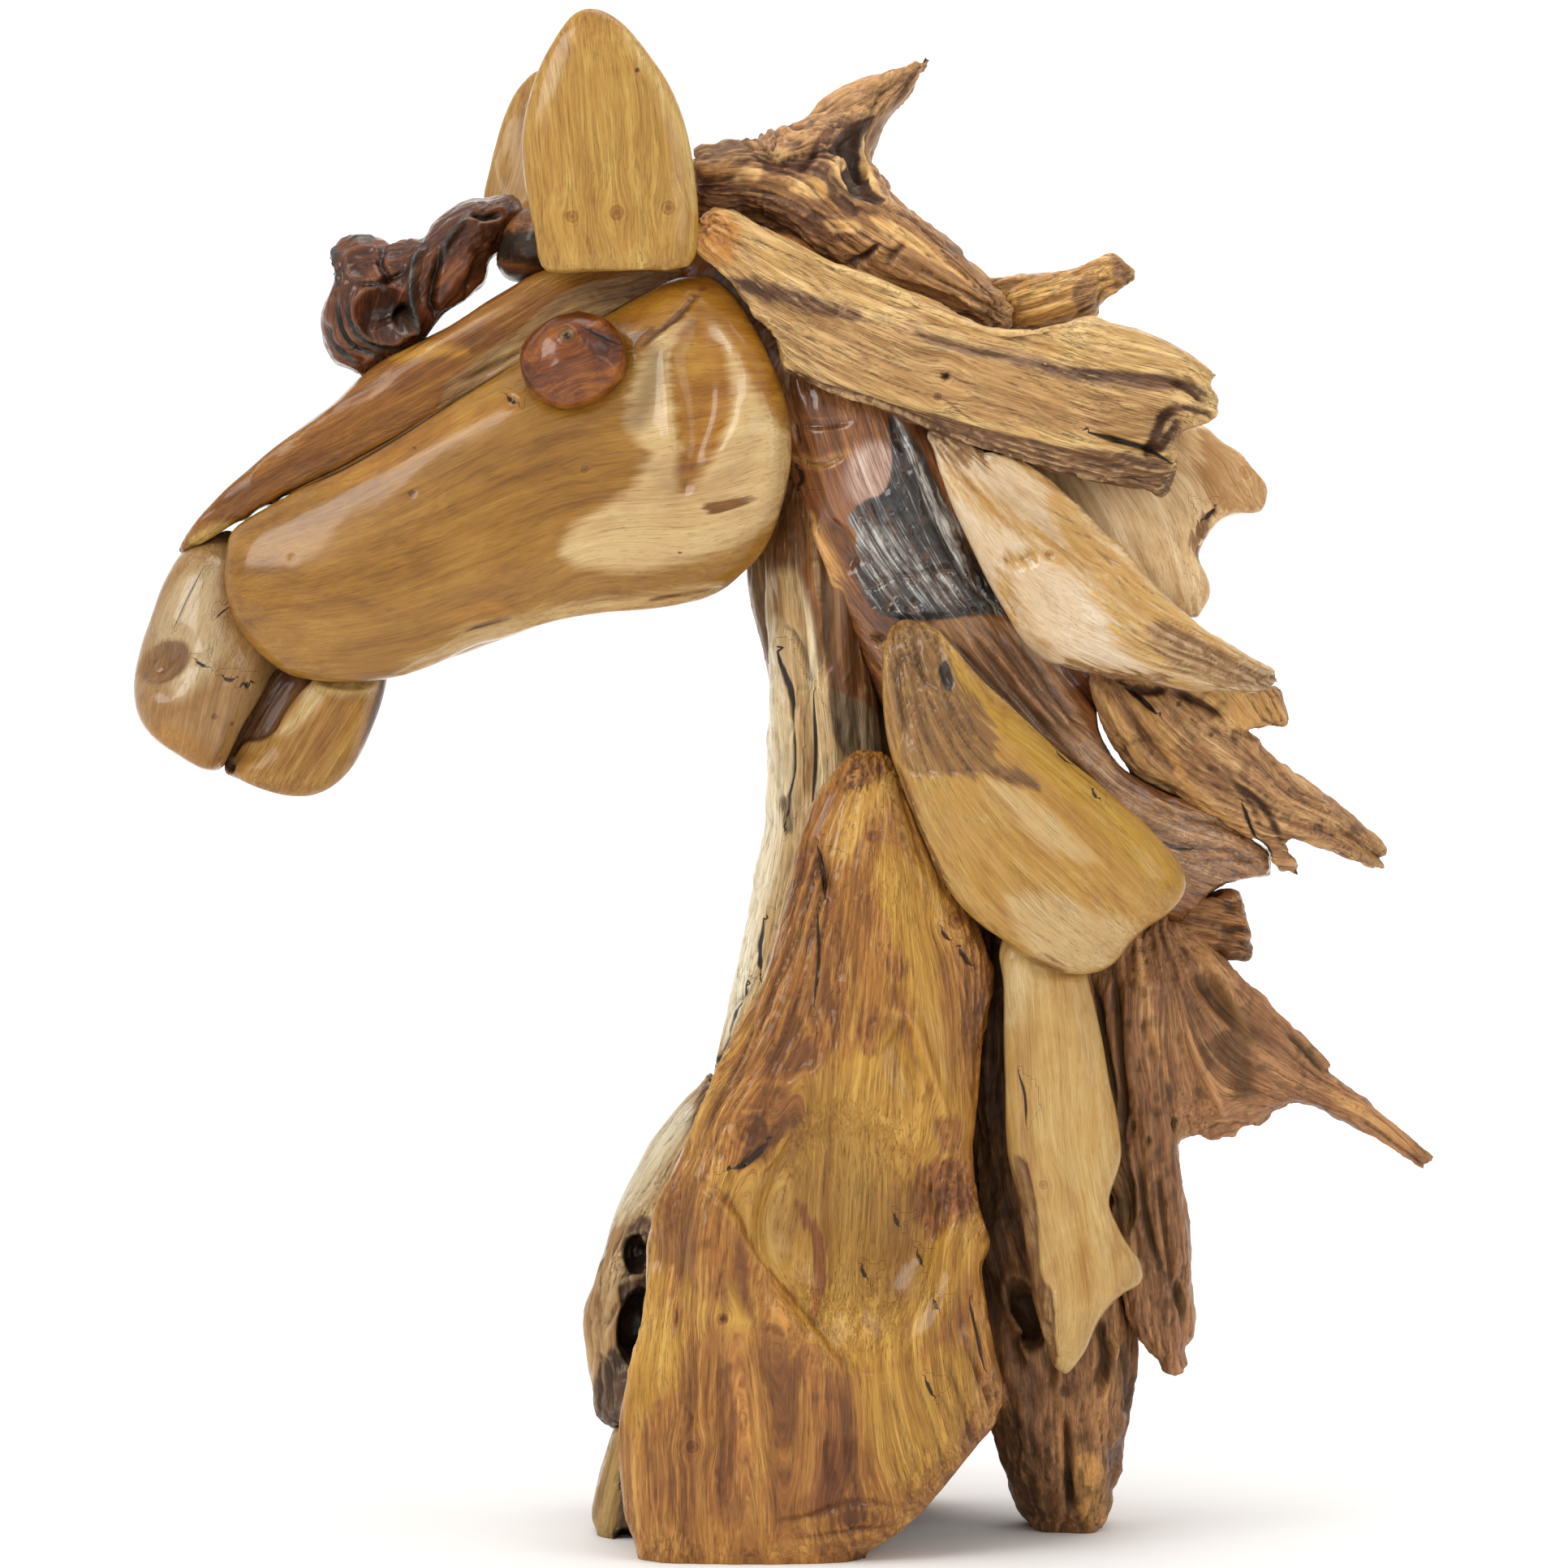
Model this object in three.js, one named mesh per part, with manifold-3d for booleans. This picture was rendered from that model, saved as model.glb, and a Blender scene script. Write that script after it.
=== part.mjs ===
// Driftwood horse head sculpture, made of separate root and driftwood pieces.
// The horse looks towards -X, its near side faces -Y, and it stands on the plane Z = 0.
// All sizes are in millimetres.

import * as THREE from 'three';
import { mergeVertices } from 'three/addons/utils/BufferGeometryUtils.js';
import Module from 'manifold-3d';

const wasm = await Module();
wasm.setup();

// Driving dimensions.
// Edge lines are measured on the upright plane through the middle of the sculpture, as they look
// from VIEW_DISTANCE in front of it. X runs from the left, Z is the height in that view.
const VIEW_DISTANCE = 3000;
const VIEW_CENTRE_X = 483;
const VIEW_CENTRE_Z = 477;
const FLOOR_LEVEL = 18;
const TOUCH_GAP = 0.35;
const TIP_RUN = 0.2;
const SEEN_SHARE = 0.45;
const FLOOR_BLOCK = 1200;
const MERGE_TOLERANCE = 1e-4;

// Depth of the paired outer layers: the distance of their inner and outer face from the middle
// plane, in rows from the first station of a piece to its last.
const CHEEK_SKIN = [[24, 74], [27, 92], [30, 102], [32, 100]];
const CREST_SKIN = [[50, 100], [52, 108], [54, 118], [60, 128]];
const BLADE_SKIN = [[58, 100], [62, 110], [70, 122], [84, 118]];
const NECK_SKIN = [[76, 116], [77, 128], [80, 134], [84, 128]];
const BOARD_SKIN = [[64, 112], [68, 118], [72, 124]];
const CHEST_SKIN = [[60, 110], [50, 124], [46, 136], [46, 142], [46, 144]];
const EAR_SKIN = [[60, 108], [64, 114], [76, 108]];
const CORE_HALF = 78;
const POLL_HALF = 58;
const EYE_DEPTH = 98;

// A hidden far partner is a little narrower than the near piece, at each of its edges.
const PARTNER_INSET = 8;
const MOST_INSET_SHARE = 0.3;

const near = (rows) => rows.map(([inner, outer]) => [-outer, -inner]);
const far = (rows) => rows;

// Moves a point seen on the middle plane to its own depth y, along the line of sight.
function place(x, y, z) {
  const scale = 1 + y / VIEW_DISTANCE;
  return [
    (x - VIEW_CENTRE_X) * scale,
    y,
    VIEW_CENTRE_Z + (z - VIEW_CENTRE_Z) * scale - FLOOR_LEVEL,
  ];
}

function catmull(p0, p1, p2, p3, t) {
  const slopeIn = (p2 - p0) / 2;
  const slopeOut = (p3 - p1) / 2;
  const a = 2 * (p1 - p2) + slopeIn + slopeOut;
  const b = 3 * (p2 - p1) - 2 * slopeIn - slopeOut;
  return ((a * t + b) * t + slopeIn) * t + p1;
}

// Smooth curve through rows of numbers, read with u from 0 to 1.
function spline(rows) {
  const last = rows.length - 1;
  const row = (index) => rows[Math.min(Math.max(index, 0), last)];
  return (u) => {
    const index = Math.min(Math.floor(u * last), last - 1);
    const t = u * last - index;
    return rows[0].map((_, c) => catmull(
      row(index - 1)[c], row(index)[c], row(index + 1)[c], row(index + 2)[c], t));
  };
}

// Thickness along a piece: full in the middle, rounded down to its share at each tip.
function tipShare(u, [start, end]) {
  const [share, run] = u < 0.5 ? [start, u / TIP_RUN] : [end, (1 - u) / TIP_RUN];
  const inside = Math.max(0, 1 - run);
  return share + (1 - share) * Math.sqrt(1 - inside * inside);
}

function signedVolume(points, triangles) {
  const [a, b, c] = [new THREE.Vector3(), new THREE.Vector3(), new THREE.Vector3()];
  let total = 0;
  for (let i = 0; i < triangles.length; i += 3) {
    a.fromArray(points, triangles[i] * 3);
    b.fromArray(points, triangles[i + 1] * 3);
    c.fromArray(points, triangles[i + 2] * 3);
    total += a.dot(b.cross(c)) / 6;
  }
  return total;
}

function toManifold(points, triangles) {
  const index = Uint32Array.from(triangles);
  if (signedVolume(points, triangles) < 0) {
    index.reverse();
  }
  return new wasm.Manifold(new wasm.Mesh({
    numProp: 3,
    vertProperties: Float32Array.from(points),
    triVerts: index,
  }));
}

// A piece with two edge lines. Each row of edges holds both edges of one station, [x, z, x, z],
// and each row of depth its near and far side. The section is a rounded box between them, and
// its edge line is seen a little in front of its middle.
function loft(spec, grow = 0) {
  const { edges, depth, sides = 8, rings = 10, square = 3, tips = [0.6, 0.6], flute = 0 } = spec;
  const edgeAt = spline(edges);
  const depthAt = depth.length > 1 ? spline(depth) : () => depth[0];
  const widest = Math.cos(Math.PI / sides) ** (2 / square);
  const rounded = (value) => Math.sign(value) * Math.abs(value) ** (2 / square) / widest;
  const points = [];
  const triangles = [];
  const spine = [];
  for (let i = 0; i < rings; i += 1) {
    const u = i / (rings - 1);
    const [ax, az, bx, bz] = edgeAt(u);
    const [front, back] = depthAt(u);
    const middle = (front + back) / 2;
    const halfDepth = tipShare(u, tips) * (back - front) / 2 + grow;
    const halfWidth = Math.hypot(bx - ax, bz - az) / 2;
    const stretch = (halfWidth + grow) / halfWidth;
    const seen = middle - SEEN_SHARE * halfDepth;
    spine.push(place((ax + bx) / 2, seen, (az + bz) / 2));
    for (let j = 0; j < sides; j += 1) {
      const angle = (2 * Math.PI * (j + 0.5)) / sides;
      const groove = j % 2 === 1 ? 1 - flute : 1;
      const across = rounded(Math.cos(angle)) * stretch;
      const through = rounded(Math.sin(angle)) * groove;
      const [x, , z] = place(
        (ax + bx) / 2 + (across * (bx - ax)) / 2, seen, (az + bz) / 2 + (across * (bz - az)) / 2);
      points.push(x, middle + through * halfDepth, z);
    }
  }
  growEnds(points, spine, sides, grow);
  for (let i = 0; i + 1 < rings; i += 1) {
    for (let j = 0; j < sides; j += 1) {
      const next = (j + 1) % sides;
      const [p, q, r, s] = [i * sides + j, i * sides + next, (i + 1) * sides + next, (i + 1) * sides + j];
      triangles.push(p, q, r, p, r, s);
    }
  }
  for (let j = 1; j + 1 < sides; j += 1) {
    const end = (rings - 1) * sides;
    triangles.push(0, j + 1, j, end, end + j, end + j + 1);
  }
  return toManifold(points, triangles);
}

// Moves the two end rings outwards along the spine, for a cutter that is grown by the gap.
function growEnds(points, spine, sides, grow) {
  const lastRing = spine.length - 1;
  for (const [ring, inner] of [[0, 1], [lastRing, lastRing - 1]]) {
    const out = new THREE.Vector3(...spine[ring]).sub(new THREE.Vector3(...spine[inner])).setLength(grow);
    for (let j = 0; j < sides; j += 1) {
      const at = (ring * sides + j) * 3;
      points[at] += out.x;
      points[at + 1] += out.y;
      points[at + 2] += out.z;
    }
  }
}

function fromGeometry(geometry) {
  geometry.deleteAttribute('normal');
  geometry.deleteAttribute('uv');
  const merged = mergeVertices(geometry, MERGE_TOLERANCE);
  return toManifold(Array.from(merged.attributes.position.array), Array.from(merged.index.array));
}

// An egg-shaped solid. Its centre is [x, y, z], its half sizes are along X, Y and Z before tilt,
// and tilt turns it about the line of sight, in degrees.
function egg({ centre, half, tilt = 0, wide = 10, high = 6 }, grow = 0) {
  const geometry = new THREE.SphereGeometry(1, wide, high);
  geometry.scale(half[0] + grow, half[1] + grow, half[2] + grow);
  geometry.rotateY(THREE.MathUtils.degToRad(tilt));
  geometry.translate(...place(...centre));
  return fromGeometry(geometry);
}

function join(parts) {
  return parts.reduce((whole, part) => whole.add(part));
}

// Both edges of every station moved towards each other, for a smaller hidden partner piece.
function inset(edges, amount) {
  return edges.map(([ax, az, bx, bz]) => {
    const width = Math.hypot(bx - ax, bz - az);
    const share = Math.min(amount / width, MOST_INSET_SHARE);
    return [
      ax + (bx - ax) * share, az + (bz - az) * share,
      bx - (bx - ax) * share, bz - (bz - az) * share,
    ];
  });
}

// Edge lines of the head.
const EAR_EDGES = [
  [336, 791, 425, 792], [326, 832, 428, 830], [322.5, 868, 425, 870], [327, 900, 414, 902],
  [337, 929, 395, 932], [349, 949, 377, 950], [357, 954.5, 369, 954.5],
];
const FAR_EAR_EDGES = [
  [306, 793, 395, 793], [299, 826, 400, 826], [301, 856, 398, 858], [310, 886, 386, 889],
  [322, 910, 368, 911], [333, 918.5, 352, 918],
];
const POLL_EDGES = [[306, 790, 384, 790], [305, 804, 386, 804], [311, 820, 380, 820], [324, 833, 366, 833]];
const FORELOCK_EDGES = [
  [318, 840, 319.5, 832], [302, 840, 311, 813], [279, 831, 300, 793], [257, 813, 283, 770],
  [237, 809, 262, 750], [213, 816, 240, 735], [203, 797, 224, 728], [199, 766, 214, 730],
  [202, 745, 207, 735],
];
const FOREHEAD_EDGES = [
  [109, 621, 111, 617.5], [126, 646, 138, 631], [155, 677, 175, 650], [189, 707, 220, 668],
  [226, 725, 264, 686], [262, 749, 302, 705], [300, 771, 342, 728], [342, 791, 384, 752],
  [400, 796, 428, 778],
];
const CHEEK_EDGES = [
  [142, 629, 141.5, 604], [158, 640, 151, 569], [192, 659, 184, 544], [238, 686, 238, 543],
  [286, 714, 286, 568], [336, 742, 342, 578], [386, 769, 394, 585], [432, 793, 450, 602],
  [463, 765, 480, 640], [483, 712, 487.5, 668],
];
const MUZZLE_EDGES = [
  [111, 619, 141, 632], [102, 603, 160, 606], [90.5, 576, 172, 572], [83, 545, 170, 551],
  [82.5, 522, 159, 526], [92.5, 500, 149, 506], [112, 486.5, 140, 490], [125, 482.5, 133, 483],
];
const CHIN_EDGES = [
  [187, 549, 237, 549], [182, 530, 232, 530], [171, 515, 223, 509], [157, 499, 216, 485],
  [144, 487, 198, 470], [136, 483, 165, 475],
];
const MOUTH_EDGES = [[168, 551, 192, 545], [158, 526, 176, 520], [146, 503, 160, 501], [140, 492, 148, 491]];
const JAW_EDGES = [
  [240, 668, 243, 543], [285, 694, 289, 560], [335, 722, 338, 578], [390, 750, 392, 592], [440, 765, 445, 610],
];
const EYE_CENTRE = [353.5, 738];
const EYE_HALF = [36, 22, 31.5];
const EYE_TILT = -14;

// Edge lines of the crest and the mane.
const HORN_BODY_EDGES = [
  [424, 866, 428, 830], [462, 872, 462, 826], [496, 886, 496, 808], [522, 880, 526, 796],
  [543, 846, 556, 781], [577, 818, 590, 766], [598, 797, 611, 760], [618, 779, 622, 759],
];
const HORN_TIP_EDGES = [
  [492, 880, 530, 812], [506, 892, 537, 846], [522, 905, 537, 872], [546, 912, 554, 898], [573, 928, 576, 924],
];
const SPUR_EDGES = [
  [598, 790, 612, 758], [632, 791, 642, 759], [664, 794, 673, 763], [682, 803, 682, 777],
  [698.5, 792, 698, 787],
];
const CREST_EDGES = [
  [429, 832, 428.5, 811], [452, 830, 455, 783], [486, 813, 480, 741], [524, 797, 514, 717],
  [568, 777, 560, 702], [618, 762, 612, 684], [668, 765, 660, 669], [716, 755, 702, 658], [752, 729, 729, 668],
];
const BLADE_EDGES = [
  [603, 694, 571, 696], [640, 671, 586, 651], [668, 648, 612, 599], [696, 626, 643, 557],
  [722, 597, 688, 542], [752, 567, 740, 539], [787, 544, 786, 538],
];
const FLAP_EDGES = [
  [640, 694, 738, 702], [646, 664, 770, 683], [656, 645, 782, 658], [672, 628, 764, 642],
  [690, 608, 739, 618], [704, 594, 745, 600], [716, 580, 738, 579],
];
const CLAW_EDGES = [
  [666, 528, 702, 556], [686, 511, 738, 541], [706, 483, 768, 511], [746, 461, 800, 481],
  [790, 447, 823, 459], [824, 437, 843, 444], [848, 428, 852, 433],
];
const CLAW_ROOT_EDGES = [[634, 566, 676, 566], [648, 524, 690, 528], [664, 502, 688, 504]];
const CLAW_TINE_EDGES = [[762, 458, 795, 462], [779, 439, 797, 440], [796, 421, 802, 422]];
const CLAW_RIM_EDGES = [[722, 520, 718, 548], [752, 516, 752, 541], [791, 510, 790, 530]];
const STUB_EDGES = [[714, 418, 712, 380], [742, 417, 741, 374], [763, 407, 760, 368], [771, 386, 771.5, 371]];
const FAN_SPIKE_EDGES = [
  [708, 399, 698, 257], [742, 376, 738, 256], [776, 347, 768, 262], [796, 327, 786, 272],
  [811, 312, 803, 280], [831, 292, 824, 270], [853, 274, 848, 257], [884, 246, 878, 238],
];
const FAN_BODY_EDGES = [
  [672, 376, 722, 388], [674, 322, 724, 318], [682, 260, 727, 258], [686, 210, 731, 208],
  [689, 162, 737, 162],
];
const FAN_LEFT_LEG_EDGES = [
  [687, 196, 722, 192], [692, 156, 727, 152], [708, 130, 730, 126], [721, 111, 733, 115],
];
const FAN_RIGHT_LEG_EDGES = [[718, 190, 734, 186], [723, 156, 737.5, 154], [728, 135, 735.5, 133]];
const BOARD_EDGES = [
  [614, 404, 664, 400], [620, 350, 670, 350], [621, 300, 679, 300], [624, 256, 690.5, 254],
  [632, 222, 682, 226], [637, 190, 696, 190], [640, 170, 702, 172], [643, 150, 676, 150],
  [655, 114, 662, 115],
];

// Edge lines of the neck and the throat.
const TRUNK_EDGES = [
  [486, 800, 424, 802], [558, 720, 470, 744], [581, 662, 498, 675], [599, 622, 512, 625], [626, 575, 537, 562],
  [655, 530, 568, 508], [694, 486, 612, 455], [739, 464, 668, 415], [784, 432, 734, 394],
];
const THROAT_EDGES = [
  [476, 705, 524, 680], [473.5, 640, 524, 634], [474, 592, 534, 586], [476.5, 545, 546, 542],
  [474, 490, 554, 486], [466, 428, 552, 424], [454, 370, 538, 366], [441, 308, 514, 304],
  [434, 268, 494, 264],
];
const THROAT_FAR_EDGES = [
  [461, 645, 506, 645], [460, 600, 511, 596], [471, 556, 517, 548], [481, 505, 515, 500],
];
const NECK_SLAB_EDGES = [
  [552, 573, 569, 575.5], [544, 553, 590, 560], [547, 516, 622, 526], [555, 477, 660, 486],
  [574, 427, 712, 444], [590, 403, 730, 414], [620, 381, 708, 388], [650, 362, 678, 363],
];

// Edge lines of the chest and the base.
const CHEST_EDGES = [
  [522, 496, 546, 495], [503, 468, 559, 465], [487, 428, 577, 420], [476, 376, 612, 368], [448, 318, 605, 318],
  [424, 256, 592, 254], [400, 196, 608.5, 194], [397, 152, 609, 146], [381, 92, 619, 98], [383, 48, 588, 52],
  [388, 15, 560, 20], [402, -5, 506, -4],
];
const CHEST_FRONT_EDGES = [
  [436, 301, 470, 297], [407, 263, 478, 258], [384, 213, 480, 212], [364, 165, 474, 164],
  [360, 134, 462, 132], [366, 104, 446, 104], [368, 80, 430, 78],
];
const FRONT_FOOT_EDGES = [
  [394, 140, 440, 140], [379, 86, 438, 84], [366, 34, 430, 34], [368, 16, 424, 14], [384, 2, 410, 2],
];
const LOWER_TRUNK_EDGES = [
  [641, 8, 676, 10], [624, 36, 689, 38], [611, 84, 697, 84], [594, 140, 703, 138], [589, 220, 694, 220],
  [590, 310, 686, 310], [596, 400, 692, 400], [606, 450, 690, 446],
];

// Cuts: hollows, the polished bowl and the cleft foot.
const CHEEK_HOLLOW = { centre: [436, -104, 724], half: [12, 20, 48], tilt: 8 };
const NOSTRIL_HOLLOW = { centre: [101, -60, 552], half: [15, 26, 12], tilt: 30 };
const BOWL_HOLLOW = { centre: [524, -168, 206], half: [86, 54, 102], tilt: 16, wide: 14 };
const HORN_HOLLOW = { centre: [529, -44, 862], half: [9, 22, 24], tilt: -12 };
const UPPER_CAVITY = { centre: [398, -42, 187], half: [15, 34, 13] };
const LOWER_CAVITY = { centre: [402, -42, 141], half: [20, 34, 29], tilt: 12 };
const TRUNK_CAVITY = { centre: [632, -62, 146], half: [10, 26, 27], tilt: 16 };
const FOOT_CLEFT = { centre: [657, -40, 34], half: [5, 34, 42], tilt: 2 };

function chestSlab(skin, amount) {
  return {
    edges: inset(CHEST_EDGES, amount), depth: skin, sides: 10, rings: 14, square: 3.4, tips: [0.5, 0.8],
  };
}

function cheek(skin, amount) {
  return {
    edges: inset(CHEEK_EDGES, amount), depth: skin, sides: 10, rings: 12, square: 2.6, tips: [0.6, 0.55],
  };
}

function eye(side) {
  return { centre: [EYE_CENTRE[0], side * EYE_DEPTH, EYE_CENTRE[1]], half: EYE_HALF, tilt: EYE_TILT };
}

function slabPair(edges, skin, amount, extra) {
  return { edges: inset(edges, amount), depth: skin, ...extra };
}

// Colours of the wood, from pale sapwood to charred root.
const WOOD = {
  pale: 0xdcbc8c,
  straw: 0xbe965f,
  gold: 0xc89a4e,
  honey: 0xb0803e,
  brown: 0x96623a,
  reddish: 0x87502d,
  root: 0x7d5c41,
  dark: 0x503728,
};

// Every piece, in the order in which they keep their shape: a later piece is cut where it meets
// an earlier one. Solids are joined from their lofts and eggs, and then cut by their hollows.
const PIECES = [
  { name: 'eye_near', wood: WOOD.reddish, roughness: 0.25, eggs: [eye(-1)] },
  { name: 'eye_far', wood: WOOD.reddish, roughness: 0.25, eggs: [eye(1)] },
  {
    name: 'ear_near',
    wood: WOOD.gold,
    lofts: [{ edges: EAR_EDGES, depth: near(EAR_SKIN), sides: 10, rings: 11, square: 2.8, tips: [0.9, 0.35] }],
  },
  {
    name: 'ear_far',
    wood: WOOD.gold,
    lofts: [{ edges: FAR_EAR_EDGES, depth: far(EAR_SKIN), rings: 9, square: 2.8, tips: [0.9, 0.35] }],
  },
  { name: 'cheek_near', wood: WOOD.honey, lofts: [cheek(near(CHEEK_SKIN), 0)], cuts: [CHEEK_HOLLOW] },
  { name: 'cheek_far', wood: WOOD.honey, lofts: [cheek(far(CHEEK_SKIN), PARTNER_INSET)] },
  {
    name: 'chest_slab_near',
    wood: WOOD.honey,
    lofts: [chestSlab(near(CHEST_SKIN), 0)],
    cuts: [BOWL_HOLLOW],
    standing: true,
  },
  {
    name: 'chest_slab_far',
    wood: WOOD.brown,
    lofts: [chestSlab(far(CHEST_SKIN), PARTNER_INSET)],
    standing: true,
  },
  {
    name: 'neck_slab_near',
    wood: WOOD.gold,
    lofts: [slabPair(NECK_SLAB_EDGES, near(NECK_SKIN), 0, { sides: 10, rings: 11, square: 2.8 })],
  },
  {
    name: 'neck_slab_far',
    wood: WOOD.honey,
    lofts: [slabPair(NECK_SLAB_EDGES, far(NECK_SKIN), PARTNER_INSET, { rings: 9 })],
  },
  {
    name: 'crest_slab_near',
    wood: WOOD.straw,
    lofts: [slabPair(CREST_EDGES, near(CREST_SKIN), 0, { sides: 10, rings: 12 })],
  },
  {
    name: 'crest_slab_far',
    wood: WOOD.straw,
    lofts: [slabPair(CREST_EDGES, far(CREST_SKIN), PARTNER_INSET, { rings: 10 })],
  },
  {
    name: 'mane_blade_near',
    wood: WOOD.pale,
    lofts: [slabPair(
      BLADE_EDGES, near(BLADE_SKIN), 0, { sides: 10, rings: 12, square: 2.6, tips: [0.8, 0.3] })],
  },
  {
    name: 'mane_blade_far',
    wood: WOOD.pale,
    lofts: [slabPair(BLADE_EDGES, far(BLADE_SKIN), PARTNER_INSET, { rings: 9, tips: [0.8, 0.3] })],
  },
  {
    name: 'mane_board_near',
    wood: WOOD.pale,
    lofts: [slabPair(BOARD_EDGES, near(BOARD_SKIN), 0, { rings: 14, square: 3.4, tips: [0.8, 0.5] })],
  },
  {
    name: 'mane_board_far',
    wood: WOOD.straw,
    lofts: [slabPair(BOARD_EDGES, far(BOARD_SKIN), PARTNER_INSET, { rings: 10, tips: [0.8, 0.5] })],
  },
  {
    name: 'forelock',
    wood: WOOD.dark,
    lofts: [{
      edges: FORELOCK_EDGES,
      depth: [[-34, 30], [-52, 46], [-50, 46], [-38, 34]],
      rings: 13,
      square: 2.4,
    }],
  },
  {
    name: 'forehead_plank',
    wood: WOOD.brown,
    lofts: [{
      edges: FOREHEAD_EDGES,
      depth: [[-46, 46], [-58, 58], [-64, 64]],
      rings: 12,
      square: 3.2,
      tips: [0.5, 0.9],
    }],
  },
  {
    name: 'muzzle',
    wood: WOOD.pale,
    lofts: [{
      edges: MUZZLE_EDGES, depth: [[-50, 50], [-64, 64], [-58, 58]], sides: 10, rings: 10, square: 2.6,
    }],
    cuts: [NOSTRIL_HOLLOW],
  },
  {
    name: 'chin',
    wood: WOOD.gold,
    lofts: [
      { edges: CHIN_EDGES, depth: [[-56, 56], [-50, 50]], rings: 8, square: 3, tips: [0.9, 0.5] },
      { edges: MOUTH_EDGES, depth: [[-40, 40]], rings: 4, square: 5, tips: [0.9, 0.7] },
    ],
  },
  {
    name: 'poll_block',
    wood: WOOD.dark,
    lofts: [{ edges: POLL_EDGES, depth: [[-POLL_HALF, POLL_HALF]], rings: 6 }],
  },
  { name: 'jaw_bar', wood: WOOD.brown, lofts: [{ edges: JAW_EDGES, depth: [[-29, 29]], rings: 7, square: 5 }] },
  {
    name: 'crest_horn',
    wood: WOOD.honey,
    lofts: [
      {
        edges: HORN_BODY_EDGES,
        depth: [[-56, 50], [-50, 48], [-46, 40]],
        rings: 11,
        square: 2.6,
        tips: [0.9, 0.4],
      },
      {
        edges: HORN_TIP_EDGES,
        depth: [[-40, 34], [-28, 24], [-14, 12]],
        rings: 8,
        square: 2.4,
        tips: [0.9, 0.4],
      },
    ],
    cuts: [HORN_HOLLOW],
  },
  {
    name: 'crest_spur',
    wood: WOOD.brown,
    lofts: [{ edges: SPUR_EDGES, depth: [[-14, 40], [-10, 36], [2, 22]], rings: 9, square: 2.6, tips: [0.8, 0.4] }],
  },
  {
    name: 'neck_trunk',
    wood: WOOD.reddish,
    lofts: [{
      edges: TRUNK_EDGES,
      depth: [[-CORE_HALF, CORE_HALF], [-CORE_HALF, CORE_HALF], [-70, 66], [-46, 40]],
      sides: 12,
      rings: 12,
      square: 2.8,
      tips: [0.9, 0.6],
      flute: 0.07,
    }],
  },
  {
    name: 'mane_claw',
    wood: WOOD.root,
    lofts: [
      {
        edges: CLAW_EDGES,
        depth: [[-66, 12], [-58, 10], [-44, -8], [-30, -2]],
        rings: 10,
        square: 2.6,
        tips: [0.6, 0.3],
      },
      { edges: CLAW_ROOT_EDGES, depth: [[-44, 44]], rings: 4, square: 2.6, tips: [0.8, 0.5] },
      { edges: CLAW_TINE_EDGES, depth: [[-46, -8], [-34, -14]], rings: 4, square: 2.4, tips: [0.9, 0.4] },
      { edges: CLAW_RIM_EDGES, depth: [[-66, -34]], rings: 5, square: 2.6 },
    ],
  },
  {
    name: 'mane_flap',
    wood: WOOD.pale,
    lofts: [{ edges: FLAP_EDGES, depth: [[-68, -8], [-66, -14], [-56, -12]], rings: 9, square: 2.6 }],
  },
  { name: 'mane_stub', wood: WOOD.brown, lofts: [{ edges: STUB_EDGES, depth: [[-34, 34]], rings: 7, square: 2.8 }] },
  {
    name: 'mane_root_fan',
    wood: WOOD.root,
    lofts: [
      {
        edges: FAN_SPIKE_EDGES,
        depth: [[-64, 4], [-60, 0], [-52, -10], [-48, -24]],
        rings: 11,
        square: 2.6,
        tips: [0.8, 0.6],
        flute: 0.08,
      },
      { edges: FAN_BODY_EDGES, depth: [[-66, 10], [-62, -2]], rings: 8, square: 2.8, flute: 0.08 },
      { edges: FAN_LEFT_LEG_EDGES, depth: [[-58, -16], [-48, -26]], rings: 5, square: 2.4, tips: [0.9, 0.6] },
      { edges: FAN_RIGHT_LEG_EDGES, depth: [[-52, -14], [-44, -24]], rings: 4, square: 2.4, tips: [0.9, 0.6] },
    ],
  },
  {
    name: 'throat_front',
    wood: WOOD.straw,
    lofts: [{
      edges: THROAT_EDGES,
      depth: [[-62, 56], [-60, 56], [-52, 50], [-46, 44]],
      sides: 10,
      rings: 11,
      square: 2.6,
      flute: 0.05,
    }],
  },
  { name: 'throat_far', wood: WOOD.straw, lofts: [{ edges: THROAT_FAR_EDGES, depth: [[54, 96]], rings: 8 }] },
  {
    name: 'chest_front',
    wood: WOOD.straw,
    lofts: [{ edges: CHEST_FRONT_EDGES, depth: [[-40, 40], [-47, 47]], rings: 10, square: 2.4 }],
    cuts: [UPPER_CAVITY, LOWER_CAVITY],
  },
  {
    name: 'front_foot',
    wood: WOOD.gold,
    lofts: [{ edges: FRONT_FOOT_EDGES, depth: [[-47, 34]], rings: 7, square: 2.6 }],
    standing: true,
  },
  {
    name: 'lower_trunk',
    wood: WOOD.root,
    lofts: [{
      edges: LOWER_TRUNK_EDGES,
      depth: [[-22, 56], [-44, 62], [-60, 62], [-66, 62], [-60, 56]],
      sides: 10,
      rings: 11,
      square: 2.8,
      tips: [0.8, 0.8],
      flute: 0.06,
    }],
    cuts: [TRUNK_CAVITY, FOOT_CLEFT],
    standing: true,
  },
];

const underFloor = fromGeometry(
  new THREE.BoxGeometry(FLOOR_BLOCK, FLOOR_BLOCK, FLOOR_BLOCK).translate(0, 0, -FLOOR_BLOCK / 2));

function body(piece, grow = 0) {
  const { lofts = [], eggs = [] } = piece;
  return join([...lofts.map((spec) => loft(spec, grow)), ...eggs.map((spec) => egg(spec, grow))]);
}

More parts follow.
